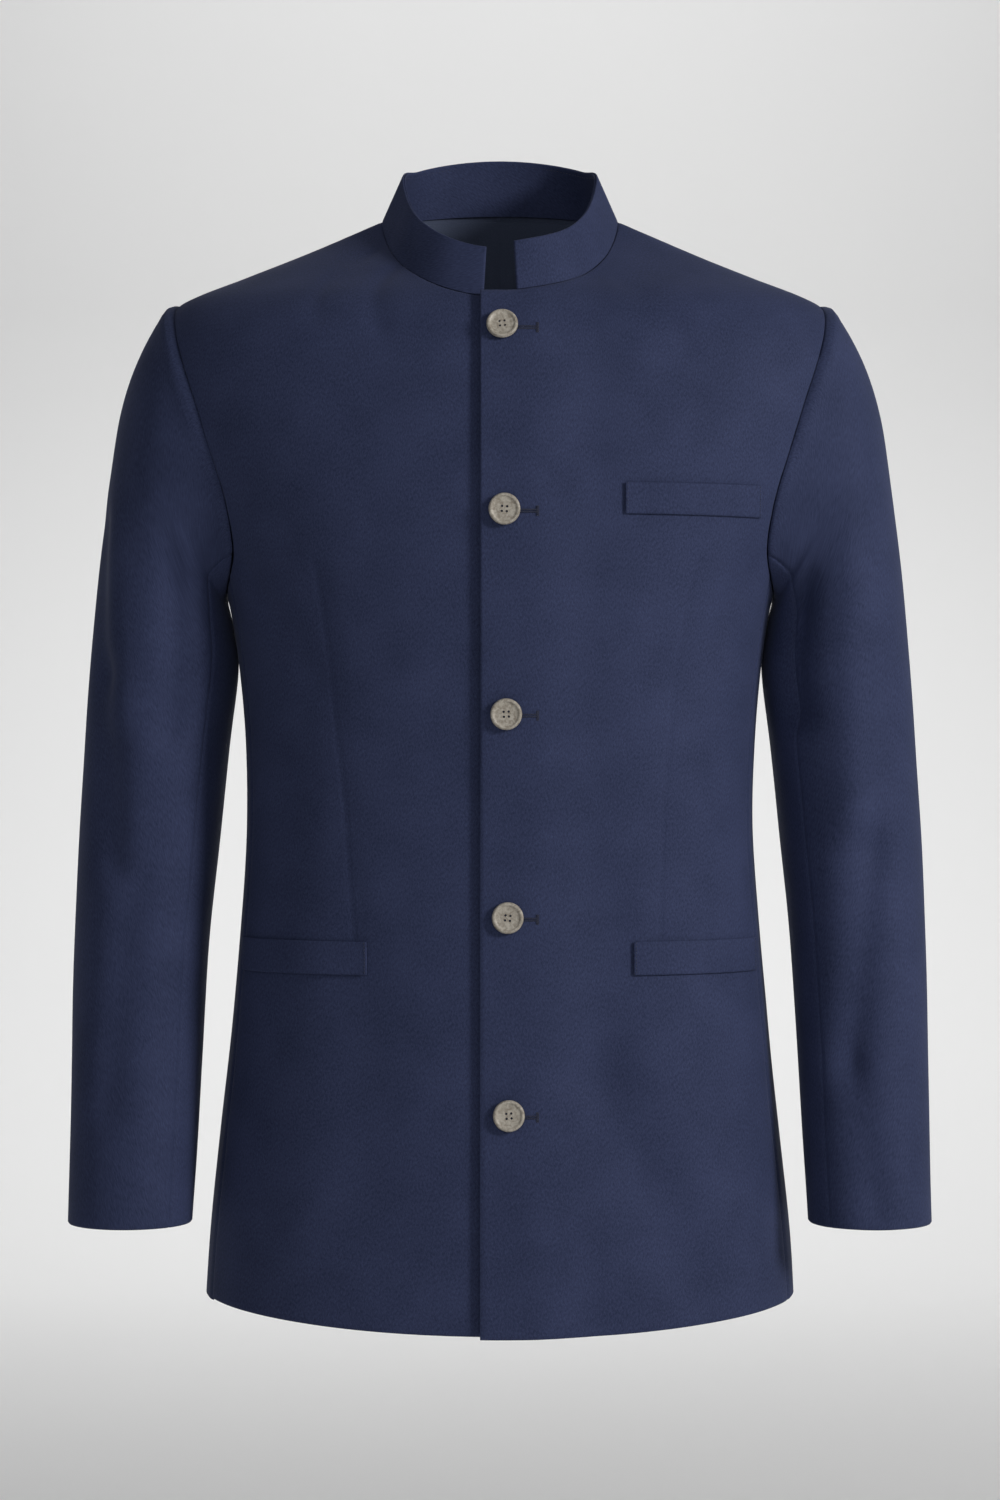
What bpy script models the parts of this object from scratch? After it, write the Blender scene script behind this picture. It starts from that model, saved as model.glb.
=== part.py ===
"""Nehru jacket: a band-collar jacket of wool twill, filled out as if it were worn.

Metres, +Z up. The jacket faces -Y and the wearer's left is +X. The origin is on the centre line,
level with the top of the wearer's shoulders, 4 mm below where the shoulder seams meet the collar.

Every panel is cut from one worked-out form. The torso is a stack of level sections, named by
the angle `turn` round the body (0 at the centre front, 90 at the side, 180 at the centre back)
and the height. A sleeve is a stack of rings, named by the angle `turn` round the arm (0 outside,
90 in front, 180 inside) and the distance down the arm.
"""
import math
from collections import namedtuple

import bmesh
import bpy
from mathutils import Matrix, Vector

# ---------------------------------------------------------------- driving dimensions
CLOTH = 0.0016                  # wall of a body or sleeve panel, shell and lining together
SEAM = 0.0003                   # air left between two pieces at a seam
COLLAR_PLY = 0.0013             # wall of each of the two bands of the collar
LINING_PLY = 0.0010
WELT_PLY = 0.0012

HEM_FRONT = -0.7745             # height of the hem at the centre front
HEM_SIDE_RISE = 0.0145          # the hem is this much higher at the sides
HEM_BACK_RISE = 0.0040
UNDER_FRONT_RISE = 0.0015       # the under front is cut a little shorter than the over front

NECK_HALF_WIDTH = 0.0840        # shoulder seam's neck end, from the centre line
NECK_POINT = 0.0040             # and its height
NECK_DROP_FRONT = 0.0645        # neck seam's centre front, below that end
NECK_RISE_BACK = 0.0180         # neck seam's centre back, above it
NECK_TAPER = 0.55               # how fast the back comes forward above the shoulders

OVERLAP = 0.0135                # over front's edge, past the centre line
UNDERLAP = 0.0170               # under front's edge, past the centre line the other way
LAP_STEP = 0.0030               # how far the over front stands out on the under front
LAP_FADE = (0.018, 0.070)       # from the centre line, where that step starts and stops fading

ARMHOLE_TOP = -0.0570
ARMHOLE_BOTTOM = -0.2620
ARMHOLE_HALF_TURN = 35.0        # degrees each way from the side
ARMHOLE_SQUARENESS = 2.4
RING_STEPS = 24                 # points round the armhole, shared by body and sleeve
SIDE_SEAM_STEP = 10             # armhole point where front and side panel meet
BACK_SEAM_STEP = 15             # armhole point where side panel and back meet
FORE_SEAM_STEP = 9              # armhole point where the sleeve's front seam starts
HIND_SEAM_STEP = 17             # armhole point where the sleeve's back seam starts

TORSO_RADIUS = 0.16             # turns times this are lengths round the body, for folds
SEAM_TRIM = math.degrees(SEAM / 2 / TORSO_RADIUS)
ARM_RADIUS = 0.055
SLEEVE_TRIM = 0.00022           # a sleeve piece stops this short of its seam line

COLLAR_TOP_HALF_WIDTH = 0.0695
COLLAR_LEAN_FRONT = 0.0140      # how far the top edge lies inside the neck seam
COLLAR_LEAN_BACK = 0.0080
COLLAR_RISE = 0.0355
COLLAR_SIDE_DROP = 0.0032       # the band is this much narrower at the sides
COLLAR_LIFT = 0.0009            # clears the sloping wall of the body at the neck seam
COLLAR_END_TURN = 7.8           # degrees from the centre front, where the band stops

BUTTON_RADIUS = 0.0108
BUTTON_THICKNESS = 0.0036
BUTTON_HOLE_RADIUS = 0.0008
BUTTON_HOLE_CIRCLE = 0.0024
BUTTON_SHANK = 0.0012           # gap under a button, wound with thread
BUTTON_SIDES = 16
# Distance from the centre line, and height.
BUTTON_PLACES = ((0.0015, -0.0855), (0.0030, -0.2095), (0.0042, -0.3480),
                 (0.0052, -0.4875), (0.0060, -0.6220))

Section = namedtuple("Section", "height half_width front back squareness")
TORSO = [
    Section(0.004, 0.0840, 0.0060, 0.0798, 2.20),
    Section(-0.004, 0.1020, 0.0165, 0.0841, 2.20),
    Section(-0.019, 0.1363, 0.0375, 0.0920, 2.20),
    Section(-0.038, 0.1825, 0.0655, 0.1000, 2.20),
    Section(-0.057, 0.2270, 0.0940, 0.1060, 2.20),
    Section(-0.078, 0.2450, 0.1105, 0.1120, 2.22),
    Section(-0.105, 0.2510, 0.1200, 0.1180, 2.25),
    Section(-0.135, 0.2470, 0.1260, 0.1230, 2.25),
    Section(-0.170, 0.2345, 0.1295, 0.1260, 2.28),
    Section(-0.205, 0.2175, 0.1300, 0.1260, 2.30),
    Section(-0.240, 0.2005, 0.1285, 0.1230, 2.30),
    Section(-0.275, 0.1906, 0.1260, 0.1180, 2.30),
    Section(-0.320, 0.1852, 0.1225, 0.1110, 2.30),
    Section(-0.370, 0.1812, 0.1185, 0.1040, 2.30),
    Section(-0.430, 0.1804, 0.1150, 0.1010, 2.30),
    Section(-0.500, 0.1852, 0.1150, 0.1080, 2.30),
    Section(-0.570, 0.1912, 0.1170, 0.1180, 2.30),
    Section(-0.640, 0.1985, 0.1190, 0.1260, 2.30),
    Section(-0.710, 0.2060, 0.1200, 0.1310, 2.30),
    Section(-0.780, 0.2105, 0.1205, 0.1330, 2.30),
]

Ring = namedtuple("Ring", "outer_x outer_z inner_x inner_z half_depth centre_y squareness")
SLEEVE = [
    Ring(0.2270, -0.0570, 0.1945, -0.2620, 0.0700, 0.000, 2.30),
    Ring(0.2395, -0.0640, 0.1954, -0.2650, 0.0715, 0.001, 2.30),
    Ring(0.2578, -0.0965, 0.1953, -0.2680, 0.0720, 0.002, 2.30),
    Ring(0.2700, -0.1325, 0.1943, -0.2715, 0.0715, 0.003, 2.25),
    Ring(0.2778, -0.1780, 0.1925, -0.2770, 0.0700, 0.004, 2.20),
    Ring(0.2850, -0.2300, 0.1901, -0.2880, 0.0685, 0.005, 2.15),
    Ring(0.2913, -0.2950, 0.1872, -0.3150, 0.0670, 0.006, 2.10),
    Ring(0.2962, -0.3620, 0.1934, -0.3680, 0.0645, 0.006, 2.08),
    Ring(0.3005, -0.4350, 0.2005, -0.4380, 0.0615, 0.003, 2.05),
    Ring(0.3028, -0.5100, 0.2072, -0.5120, 0.0580, -0.006, 2.05),
    Ring(0.3032, -0.5900, 0.2112, -0.5910, 0.0540, -0.018, 2.05),
    Ring(0.3030, -0.6530, 0.2140, -0.6530, 0.0505, -0.030, 2.05),
    Ring(0.3032, -0.7043, 0.2166, -0.7043, 0.0480, -0.041, 2.05),
]

# A fold is a soft trough (depth below zero) or ridge between two points, (turn, height).
Fold = namedtuple("Fold", "side start_turn start_z end_turn end_z width depth")
TORSO_FOLDS = [
    Fold(1, 24.0, -0.480, 21.0, -0.600, 0.020, -0.0022),
    Fold(1, 21.0, -0.600, 36.0, -0.730, 0.024, -0.0034),
    Fold(-1, 30.0, -0.520, 26.0, -0.700, 0.022, -0.0018),
    Fold(1, 152.0, -0.330, 168.0, -0.470, 0.028, -0.0030),
    Fold(-1, 154.0, -0.340, 166.0, -0.450, 0.026, -0.0026),
]
SLEEVE_FOLDS = [
    Fold(1, 70.0, -0.200, 128.0, -0.330, 0.014, -0.0045),
    Fold(1, 42.0, -0.360, 118.0, -0.520, 0.016, -0.0050),
    Fold(1, 300.0, -0.330, 250.0, -0.440, 0.016, -0.0035),
    Fold(-1, 95.0, -0.210, 48.0, -0.300, 0.014, -0.0040),
    Fold(-1, 48.0, -0.300, 92.0, -0.440, 0.016, -0.0042),
    Fold(-1, 296.0, -0.350, 252.0, -0.460, 0.016, -0.0035),
]

# colour (linear), roughness, metallic
TWILL = (0.020, 0.027, 0.066), 0.75, 0.0
LINING = (0.012, 0.016, 0.036), 0.55, 0.0
HORN = (0.43, 0.39, 0.33), 0.35, 0.0


# ---------------------------------------------------------------- working out the form
def between(rows, keys, place, column):
    """Value of a table's column at a place along its keys, on a smooth curve through the rows."""
    last = len(rows) - 1
    index = 0
    while index < last - 1 and place > keys[index + 1]:
        index += 1
    values = [getattr(rows[min(max(i, 0), last)], column) for i in range(index - 1, index + 3)]
    spots = [keys[min(max(i, 0), last)] for i in range(index - 1, index + 3)]
    span = spots[2] - spots[1]
    slope_a = (values[2] - values[0]) / (spots[2] - spots[0])
    slope_b = (values[3] - values[1]) / (spots[3] - spots[1])
    t = (place - spots[1]) / span
    return (values[1] * (1 + 2 * t) * (1 - t) ** 2 + slope_a * span * t * (1 - t) ** 2
            + values[2] * t * t * (3 - 2 * t) + slope_b * span * t * t * (t - 1))


TORSO_KEYS = [-row.height for row in TORSO]


def torso(column, height):
    """A column of the torso's table at a height; above the shoulders only the back tapers on."""
    value = between(TORSO, TORSO_KEYS, -min(height, NECK_POINT), column)
    if column == "back":
        value -= NECK_TAPER * max(height - NECK_POINT, 0.0)
    return value


def even(start, stop, steps):
    return [start + (stop - start) * i / steps for i in range(steps + 1)]


def fade(value, start, stop):
    """1 before start, 0 after stop, and smooth between them."""
    t = min(max((value - start) / (stop - start), 0.0), 1.0)
    return 1 - t * t * (3 - 2 * t)


def rounded(angle, squareness):
    """Sine and cosine of a corner-filled circle, a superellipse of radius 1."""
    sine = math.sin(angle)
    cosine = math.cos(angle)
    size = (abs(sine) ** squareness + abs(cosine) ** squareness) ** (-1 / squareness)
    return sine * size, cosine * size


def turn_at(x, height):
    """Turn of the front point of the section at this height that lies x from the centre."""
    n = torso("squareness", height)
    share = min((abs(x) / torso("half_width", height)) ** n, 1 - 1e-9)
    turn = math.degrees(math.atan((share / (1 - share)) ** (1 / n)))
    return math.copysign(turn, x)


def distance_to_line(point, start, end):
    """How far a point lies from a stretch between two others."""
    along = (point - start).dot(end - start) / (end - start).length_squared
    return (point - start.lerp(end, min(max(along, 0.0), 1.0))).length


def folds_at(folds, side, turn, height, radius):
    """Sum of the folds' depths at a point of the unrolled surface, whose radius is known."""
    total = 0.0
    here = Vector((math.radians(turn) * radius, height))
    for fold in folds:
        if fold.side != side:
            continue
        start = Vector((math.radians(fold.start_turn) * radius, fold.start_z))
        end = Vector((math.radians(fold.end_turn) * radius, fold.end_z))
        gap = distance_to_line(here, start, end)
        total += fold.depth * math.exp(-((gap / fold.width) ** 2))
    return total


def torso_base(turn, height):
    sine, cosine = rounded(math.radians(turn), torso("squareness", height))
    depth = torso("front" if abs(turn) <= 90 else "back", height)
    return Vector((torso("half_width", height) * sine, -depth * cosine, height))


def outward(surface, turn, height):
    """Unit normal of a surface function of a turn and a height or distance."""
    d_turn = 0.4
    d_height = 0.0010
    across = surface(turn + d_turn, height) - surface(turn - d_turn, height)
    up = surface(turn, height + d_height) - surface(turn, height - d_height)
    return across.cross(up).normalized()


def body_surface(side, lap):
    """Outer face of one side of the torso, drawn on the wearer's left."""
    def surface(turn, height):
        base = torso_base(turn, height)
        out = outward(torso_base, turn, height)
        raised = lap * fade(base.x, *LAP_FADE) if abs(turn) < 90 else 0.0
        return base + out * (raised + folds_at(TORSO_FOLDS, side, turn, height, TORSO_RADIUS))
    return surface


def hem_height(turn):
    angle = math.radians(turn)
    return HEM_FRONT + HEM_SIDE_RISE * math.sin(angle) ** 2 + HEM_BACK_RISE * (1 - math.cos(angle)) / 2


def armhole(step, grow):
    """Turn and height of one of the points round the armhole, 0 being the shoulder tip."""
    sine, cosine = rounded(2 * math.pi * step / RING_STEPS, ARMHOLE_SQUARENESS)
    middle = (ARMHOLE_TOP + ARMHOLE_BOTTOM) / 2
    half_height = (ARMHOLE_TOP - ARMHOLE_BOTTOM) / 2
    half_turn = ARMHOLE_HALF_TURN + math.degrees(grow / torso("half_width", middle))
    return 90 - half_turn * sine, middle + (half_height + grow) * cosine


def neckline(turn):
    """Turn and height of the body's neck edge, for a turn round the neck."""
    angle = math.radians(turn)
    steep = NECK_RISE_BACK + (NECK_DROP_FRONT - NECK_RISE_BACK) * fade(turn, 60, 120)
    height = NECK_POINT - steep * math.cos(angle)
    body_turn = turn_at(NECK_HALF_WIDTH * math.sin(angle), height)
    return (body_turn if turn <= 90 else 180 - body_turn), height


def ridge(height, gap):
    """Turn on the shoulder seam, kept back from the ridge by a gap; gap above zero is in front."""
    depth = torso("front" if gap > 0 else "back", height)
    return 90 - math.degrees(math.asin(min(max(gap / depth, -1), 1)))


# ---------------------------------------------------------------- making solids
collection = bpy.data.collections.new("nehru_jacket")


def start_scene():
    for old in list(bpy.data.objects):
        bpy.data.objects.remove(old)
    bpy.context.scene.collection.children.link(collection)


def material(name, look):
    colour, roughness, metallic = look
    made = bpy.data.materials.new(name)
    made.use_nodes = True
    shader = made.node_tree.nodes["Principled BSDF"]
    shader.inputs["Base Color"].default_value = (*colour, 1.0)
    shader.inputs["Roughness"].default_value = roughness
    shader.inputs["Metallic"].default_value = metallic
    return made


def cloth(name, surface, grid, side, look, offset=0.0, wall=CLOTH):
    """A piece of cloth: a grid of (turn, height) places on a surface, given a wall inwards.

    The wall follows the surface's own normals, so that two pieces which share a seam stay side
    by side through the whole wall. Side -1 mirrors the piece to the wearer's right.
    """
    outer = []
    inner = []
    for row in grid:
        for turn, height in row:
            point = surface(turn, height)
            out = outward(surface, turn, height)
            outer.append(point + out * offset)
            inner.append(point + out * (offset - wall))
    wide = len(grid[0])
    count = len(outer)
    points = [Vector((side * p.x, p.y, p.z)) for p in outer + inner]
    faces = []
    for r in range(len(grid) - 1):
        for c in range(wide - 1):
            a = r * wide + c
            for face in ((a, a + 1, a + wide + 1), (a, a + wide + 1, a + wide)):
                faces.append(face)
                faces.append(tuple(count + i for i in reversed(face)))
    rim = list(range(wide))
    rim += [r * wide + wide - 1 for r in range(1, len(grid))]
    rim += [count - 1 - c for c in range(1, wide)]
    rim += [r * wide for r in range(len(grid) - 2, 0, -1)]
    for a, b in zip(rim, rim[1:] + rim[:1]):
        faces.append((b, a, count + a, count + b))
    if side < 0:
        faces = [tuple(reversed(face)) for face in faces]
    mesh = bpy.data.meshes.new(name)
    mesh.from_pydata(points, [], faces)
    mesh.shade_smooth()
    mesh.set_sharp_from_angle(angle=math.radians(50))
    mesh.materials.append(look)
    made = bpy.data.objects.new(name, mesh)
    collection.objects.link(made)
    return made


def quarter_girth(turn, height):
    """Length round the torso from the centre to the side, at a height."""
    half_width = torso("half_width", height)
    depth = torso("front" if turn <= 90 else "back", height)
    return math.pi / 2 * math.hypot(half_width, depth) / math.sqrt(2)


def laid_flat(place):
    """A (turn, height) place as (length round the body from the centre, height)."""
    turn, height = place
    from_centre = turn if turn <= 90 else turn - 180
    return quarter_girth(turn, height) * from_centre / 90, height


def laid_round(spot, behind):
    """The reverse of laid_flat, for the back when behind is true."""
    length, height = spot
    turn = 90 * length / quarter_girth(180 if behind else 0, height)
    return (180 + turn if behind else turn), height


ARMHOLE_HOLD = 5.0              # how closely the armhole's pull keeps to it, towards the shoulder


def fill(bottom, top, left, right):
    """Grid of places inside four edges of a panel, worked out on the cloth laid flat.

    Towards the shoulder, columns far from the armhole follow the neck's edge and not the armhole.
    """
    behind = bottom[-1][0] > 90
    bottom, top, left, right = ([laid_flat(p) for p in edge] for edge in (bottom, top, left, right))
    wide = len(bottom)
    grid = []
    for r, (start, end) in enumerate(zip(left, right)):
        v = (end[1] - right[0][1]) / (right[-1][1] - right[0][1])
        row = [laid_round(start, behind)]
        for c in range(1, wide - 1):
            u = c / (wide - 1)
            hold = 1 + ARMHOLE_HOLD * v ** 3
            u = 1 - (1 - u) ** hold if behind else u ** hold
            spot = []
            for k in (0, 1):
                level = (1 - v) * bottom[c][k] + v * top[c][k] + (1 - u) * start[k] + u * end[k]
                corners = (1 - u) * ((1 - v) * bottom[0][k] + v * top[0][k])
                corners += u * ((1 - v) * bottom[-1][k] + v * top[-1][k])
                spot.append(level - corners)
            row.append(laid_round(spot, behind))
        row.append(laid_round(end, behind))
        grid.append(row)
    return grid


# ---------------------------------------------------------------- the body
SIDE_ROWS = 12                  # rows of the body from the hem to the armhole
NECK_COLUMNS = 6                # columns of a front or half back that end at the neck
SHOULDER_COLUMNS = 5            # columns that end at the shoulder seam
FRONT_NECK_TURNS = even(COLLAR_END_TURN, 90, NECK_COLUMNS - 1)
BACK_NECK_TURNS = even(90, 180, NECK_COLUMNS)
LINING_ROWS = (-9, -1)          # rows of the back that are lined, up to just under its neck edge


def side_seam(turn, top, rise):
    """Places up a vertical seam from the hem to a height, spaced evenly."""
    return [(turn, z) for z in even(hem_height(turn) + rise, top, SIDE_ROWS)]


def level_with(edge, start, stop):
    """Heights from start to stop, spaced like those of another edge."""
    low, high = edge[0][1], edge[-1][1]
    return [start + (stop - start) * (z - low) / (high - low) for _, z in edge]


def front(name, side, past_centre, lap, rise, look):
    """A front, from its buttoning edge to the side seam, armhole, shoulder seam and neck."""
    half_gap = SEAM / 2
    hole = [armhole(i, half_gap) for i in range(SIDE_SEAM_STEP, 0, -1)]
    tip = (ridge(ARMHOLE_TOP + half_gap, half_gap), ARMHOLE_TOP + half_gap)
    seam_turn = hole[0][0] - SEAM_TRIM
    right = side_seam(seam_turn, hole[0][1], rise)[:-1] + hole + [tip]
    neck = neckline(COLLAR_END_TURN)[1]
    left = [(turn_at(-past_centre, z), z) for z in level_with(right, hem_height(0) + rise, neck)]
    top = [left[-1]] + [neckline(turn) for turn in FRONT_NECK_TURNS]
    top[-1] = (ridge(NECK_POINT, half_gap), NECK_POINT)
    top += [(ridge(z, half_gap), z) for z in even(NECK_POINT, tip[1], SHOULDER_COLUMNS)[1:]]
    turns = even(left[0][0], seam_turn, NECK_COLUMNS + SHOULDER_COLUMNS)
    bottom = [(turn, hem_height(turn) + rise) for turn in turns]
    grid = fill(bottom, top, left, right)
    return cloth(name, body_surface(side, lap), grid, side, look)


def back_grid():
    """Places of half of the back, from the side seam to the centre seam."""
    half_gap = SEAM / 2
    hole = [armhole(i, half_gap) for i in range(BACK_SEAM_STEP, RING_STEPS)]
    tip = (ridge(ARMHOLE_TOP + half_gap, -half_gap), ARMHOLE_TOP + half_gap)
    seam_turn = hole[0][0] + SEAM_TRIM
    left = side_seam(seam_turn, hole[0][1], 0.0)[:-1] + hole + [tip]
    rows = level_with(left, hem_height(180), NECK_POINT + NECK_RISE_BACK)
    centre = [(180 - turn_at(half_gap, z), z) for z in rows]
    top = [(ridge(z, -half_gap), z) for z in even(tip[1], NECK_POINT, SHOULDER_COLUMNS)]
    top += [neckline(turn) for turn in BACK_NECK_TURNS[1:]]
    top[-1] = centre[-1]
    turns = even(seam_turn, centre[0][0], NECK_COLUMNS + SHOULDER_COLUMNS)
    bottom = [(turn, hem_height(turn)) for turn in turns]
    return fill(bottom, top, left, centre)


def back(name, side, look):
    return cloth(name, body_surface(side, 0.0), back_grid(), side, look)


def back_lining(name, side, look):
    """Half of the lining inside the back of the neck, where it shows: the back's own places."""
    grid = [row[SHOULDER_COLUMNS:] for row in back_grid()[slice(*LINING_ROWS)]]
    return cloth(name, body_surface(side, 0.0), grid, side, look, -CLOTH - SEAM, LINING_PLY)


def side_panel(name, side, look):
    """The panel under the arm, between front and back, up to the bottom of the armhole."""
    top = [armhole(i, SEAM / 2) for i in range(SIDE_SEAM_STEP, BACK_SEAM_STEP + 1)]
    top[0] = (top[0][0] + SEAM_TRIM, top[0][1])
    top[-1] = (top[-1][0] - SEAM_TRIM, top[-1][1])
    turns = even(top[0][0], top[-1][0], len(top) - 1)
    grid = []
    for share in even(0, 1, SIDE_ROWS):
        row = []
        for straight, (turn, height) in zip(turns, top):
            low = hem_height(straight)
            row.append((straight + (turn - straight) * share ** 4, low + (height - low) * share))
        grid.append(row)
    return cloth(name, body_surface(side, 0.0), grid, side, look)


# ---------------------------------------------------------------- the sleeves
SLEEVE_KEYS = list(range(len(SLEEVE)))
SLEEVE_ROWS = 15
CAP_RINGS = 3.0                 # rings over which the armhole's own curve fades out


def sleeve_ring(turn, distance):
    """Point of the plain sleeve at a turn round the arm, so many rings down it."""
    outer_x, outer_z, inner_x, inner_z, half_depth, centre_y, squareness = (
        between(SLEEVE, SLEEVE_KEYS, distance, column) for column in Ring._fields)
    sine, cosine = rounded(math.radians(turn), squareness)
    middle = Vector(((outer_x + inner_x) / 2, centre_y, (outer_z + inner_z) / 2))
    reach = Vector(((outer_x - inner_x) / 2, 0, (outer_z - inner_z) / 2))
    return middle + reach * cosine + Vector((0, -half_depth * sine, 0))


def sleeve_base(turn, distance):
    point = sleeve_ring(turn, distance)
    if distance < CAP_RINGS:
        seam = torso_base(*armhole(turn * RING_STEPS / 360, -SEAM / 2))
        share = fade(distance, 0, CAP_RINGS)
        point += (seam - sleeve_ring(turn, 0)) * share
    return point


def sleeve_surface(side):
    """Outer face of one sleeve, with its folds, drawn on the wearer's left."""
    def surface(turn, distance):
        base = sleeve_base(turn, distance)
        depth = folds_at(SLEEVE_FOLDS, side, turn % 360, base.z, ARM_RADIUS)
        depth *= 1 - fade(distance, CAP_RINGS, CAP_RINGS + 2)
        return base + outward(sleeve_base, turn, distance) * depth
    return surface


def sleeve_piece(name, side, first, last, look):
    """One piece of a sleeve, between the seams that start at two armhole points."""
    trim = math.degrees(SLEEVE_TRIM / ARM_RADIUS)
    turns = [step * 360 / RING_STEPS for step in range(first, last + 1)]
    turns[0] += trim
    turns[-1] -= trim
    rows = even(0, len(SLEEVE) - 1, SLEEVE_ROWS)
    grid = [[(turn, distance) for turn in turns] for distance in rows]
    return cloth(name, sleeve_surface(side), grid, side, look)


# ---------------------------------------------------------------- the collar
COLLAR_ROWS = 2


def collar_surface(turn, share):
    """Outer face of the band, for a turn round the whole neck and a share of its height."""
    on_left = turn <= 180
    own_turn = turn if on_left else 360 - turn
    angle = math.radians(own_turn)
    base = body_surface(1 if on_left else -1, LAP_STEP if on_left else 0.0)(*neckline(own_turn))
    lean = COLLAR_LEAN_BACK + (COLLAR_LEAN_FRONT - COLLAR_LEAN_BACK) * fade(own_turn, 60, 120)
    x = base.x * (1 + share * (COLLAR_TOP_HALF_WIDTH / NECK_HALF_WIDTH - 1))
    y = base.y + share * lean * math.cos(angle)
    rise = COLLAR_RISE - COLLAR_SIDE_DROP * math.sin(angle) ** 2
    return Vector((x if on_left else -x, y, base.z + COLLAR_LIFT + share * rise))


def collar_band(name, offset, look):
    """One of the two bands that are sewn together along the top edge and turned."""
    half = FRONT_NECK_TURNS + BACK_NECK_TURNS[1:]
    turns = half + [360 - turn for turn in reversed(half[:-1])]
    grid = [[(turn, share) for turn in turns] for share in even(0, 1, COLLAR_ROWS)]
    return cloth(name, collar_surface, grid, 1, look, offset, COLLAR_PLY)


# ---------------------------------------------------------------- welts and buttons
Welt = namedtuple("Welt", "name side inner_x outer_x top bottom")
WELTS = [
    Welt("chest_welt", 1, 0.0850, 0.1800, -0.1905, -0.2120),
    Welt("hip_welt_left", 1, 0.0920, 0.1790, -0.5045, -0.5275),
    Welt("hip_welt_right", -1, 0.0915, 0.1790, -0.5045, -0.5275),
]
WELT_STAND = 0.0012             # a welt stands this far off its front's true curve
WELT_COLUMNS = 12


def welt(row, look):
    """A welt lying on its front: the front's own surface, moved out."""
    surface = body_surface(row.side, LAP_STEP if row.side > 0 else 0.0)
    grid = []
    for height in (row.bottom, row.top):
        places = even(row.inner_x, row.outer_x, WELT_COLUMNS)
        grid.append([(turn_at(x, height), height) for x in places])
    return cloth(row.name, surface, grid, row.side, look, WELT_STAND + WELT_PLY, WELT_PLY)


# Shares of the button's radius and thickness, from the middle of its face round to its back.
BUTTON_OUTLINE = [
    (0.0, 0.72), (0.62, 0.72), (0.74, 1.0), (0.90, 1.0), (1.0, 0.80), (1.0, 0.35), (0.88, 0.0),
    (0.0, 0.0),
]


def button_mesh():
    """Half outline of a four-hole button, dished inside a raised rim, from top to bottom."""
    points = [(radius * BUTTON_RADIUS, 0, height * BUTTON_THICKNESS)
              for radius, height in BUTTON_OUTLINE]
    mesh = bpy.data.meshes.new("button_outline")
    mesh.from_pydata(points, [(i, i + 1) for i in range(len(points) - 1)], [])
    return mesh


def hole_mesh():
    """Four round rods that cut the button's holes."""
    form = bmesh.new()
    for angle in (math.radians(turn) for turn in (45, 135, 225, 315)):
        at = Vector((math.cos(angle), math.sin(angle), 0)) * BUTTON_HOLE_CIRCLE
        place = Matrix.Translation(at + Vector((0, 0, BUTTON_THICKNESS / 2)))
        bmesh.ops.create_cone(form, cap_ends=True, segments=8, radius1=BUTTON_HOLE_RADIUS,
                              radius2=BUTTON_HOLE_RADIUS, depth=BUTTON_THICKNESS * 2, matrix=place)
    mesh = bpy.data.meshes.new("button_holes")
    form.to_mesh(mesh)
    form.free()
    return mesh


def button(number, place, outline, holes, cutters, look):
    """One button, standing off the over front by the length of its thread shank."""
    name = f"button_{number}"
    made = bpy.data.objects.new(name, outline)
    collection.objects.link(made)
    surface = body_surface(1, LAP_STEP)
    height = place[1]
    turn = turn_at(*place)
    out = outward(surface, turn, height)
    made.location = surface(turn, height) + out * BUTTON_SHANK
    made.rotation_mode = "QUATERNION"
    made.rotation_quaternion = out.to_track_quat("Z", "Y")
    spin = made.modifiers.new("turned", "SCREW")
    spin.steps = BUTTON_SIDES
    spin.render_steps = BUTTON_SIDES
    spin.use_merge_vertices = True
    spin.merge_threshold = 0.00005
    cutter = bpy.data.objects.new(f"{name}_holes", holes)
    cutters.objects.link(cutter)
    cutter.location = made.location
    cutter.rotation_mode = "QUATERNION"
    cutter.rotation_quaternion = made.rotation_quaternion
    cutter.hide_render = True
    cutter.display_type = "WIRE"
    cut = made.modifiers.new("holes", "BOOLEAN")
    cut.object = cutter
    cut.operation = "DIFFERENCE"
    if not outline.materials:
        outline.materials.append(look)
    return made


# ---------------------------------------------------------------- putting the jacket together
def build():
    start_scene()
    cutters = bpy.data.collections.new("cutters")
    bpy.context.scene.collection.children.link(cutters)
    sides = (("left", 1), ("right", -1))
    front("front_left", 1, OVERLAP, LAP_STEP, 0.0, material("front_left_twill", TWILL))
    front("front_right", -1, UNDERLAP, 0.0, UNDER_FRONT_RISE, material("front_right_twill", TWILL))
    for word, side in sides:
        back(f"back_{word}", side, material(f"back_{word}_twill", TWILL))
        side_panel(f"side_panel_{word}", side, material(f"side_panel_{word}_twill", TWILL))
        sleeve_piece(f"top_sleeve_{word}", side, HIND_SEAM_STEP, RING_STEPS + FORE_SEAM_STEP,
                     material(f"top_sleeve_{word}_twill", TWILL))
        sleeve_piece(f"under_sleeve_{word}", side, FORE_SEAM_STEP, HIND_SEAM_STEP,
                     material(f"under_sleeve_{word}_twill", TWILL))
        back_lining(f"back_lining_{word}", side, material(f"back_lining_{word}_cloth", LINING))
    collar_band("collar_outer_band", 0.0, material("collar_outer_twill", TWILL))
    collar_band("collar_inner_band", -COLLAR_PLY - SEAM, material("collar_inner_twill", TWILL))
    for row in WELTS:
        welt(row, material(f"{row.name}_twill", TWILL))
    outline = button_mesh()
    holes = hole_mesh()
    horn = material("button_horn", HORN)
    for number, place in enumerate(BUTTON_PLACES, 1):
        button(number, place, outline, holes, cutters, horn)


build()
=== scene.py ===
import math
from collections import namedtuple

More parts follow.
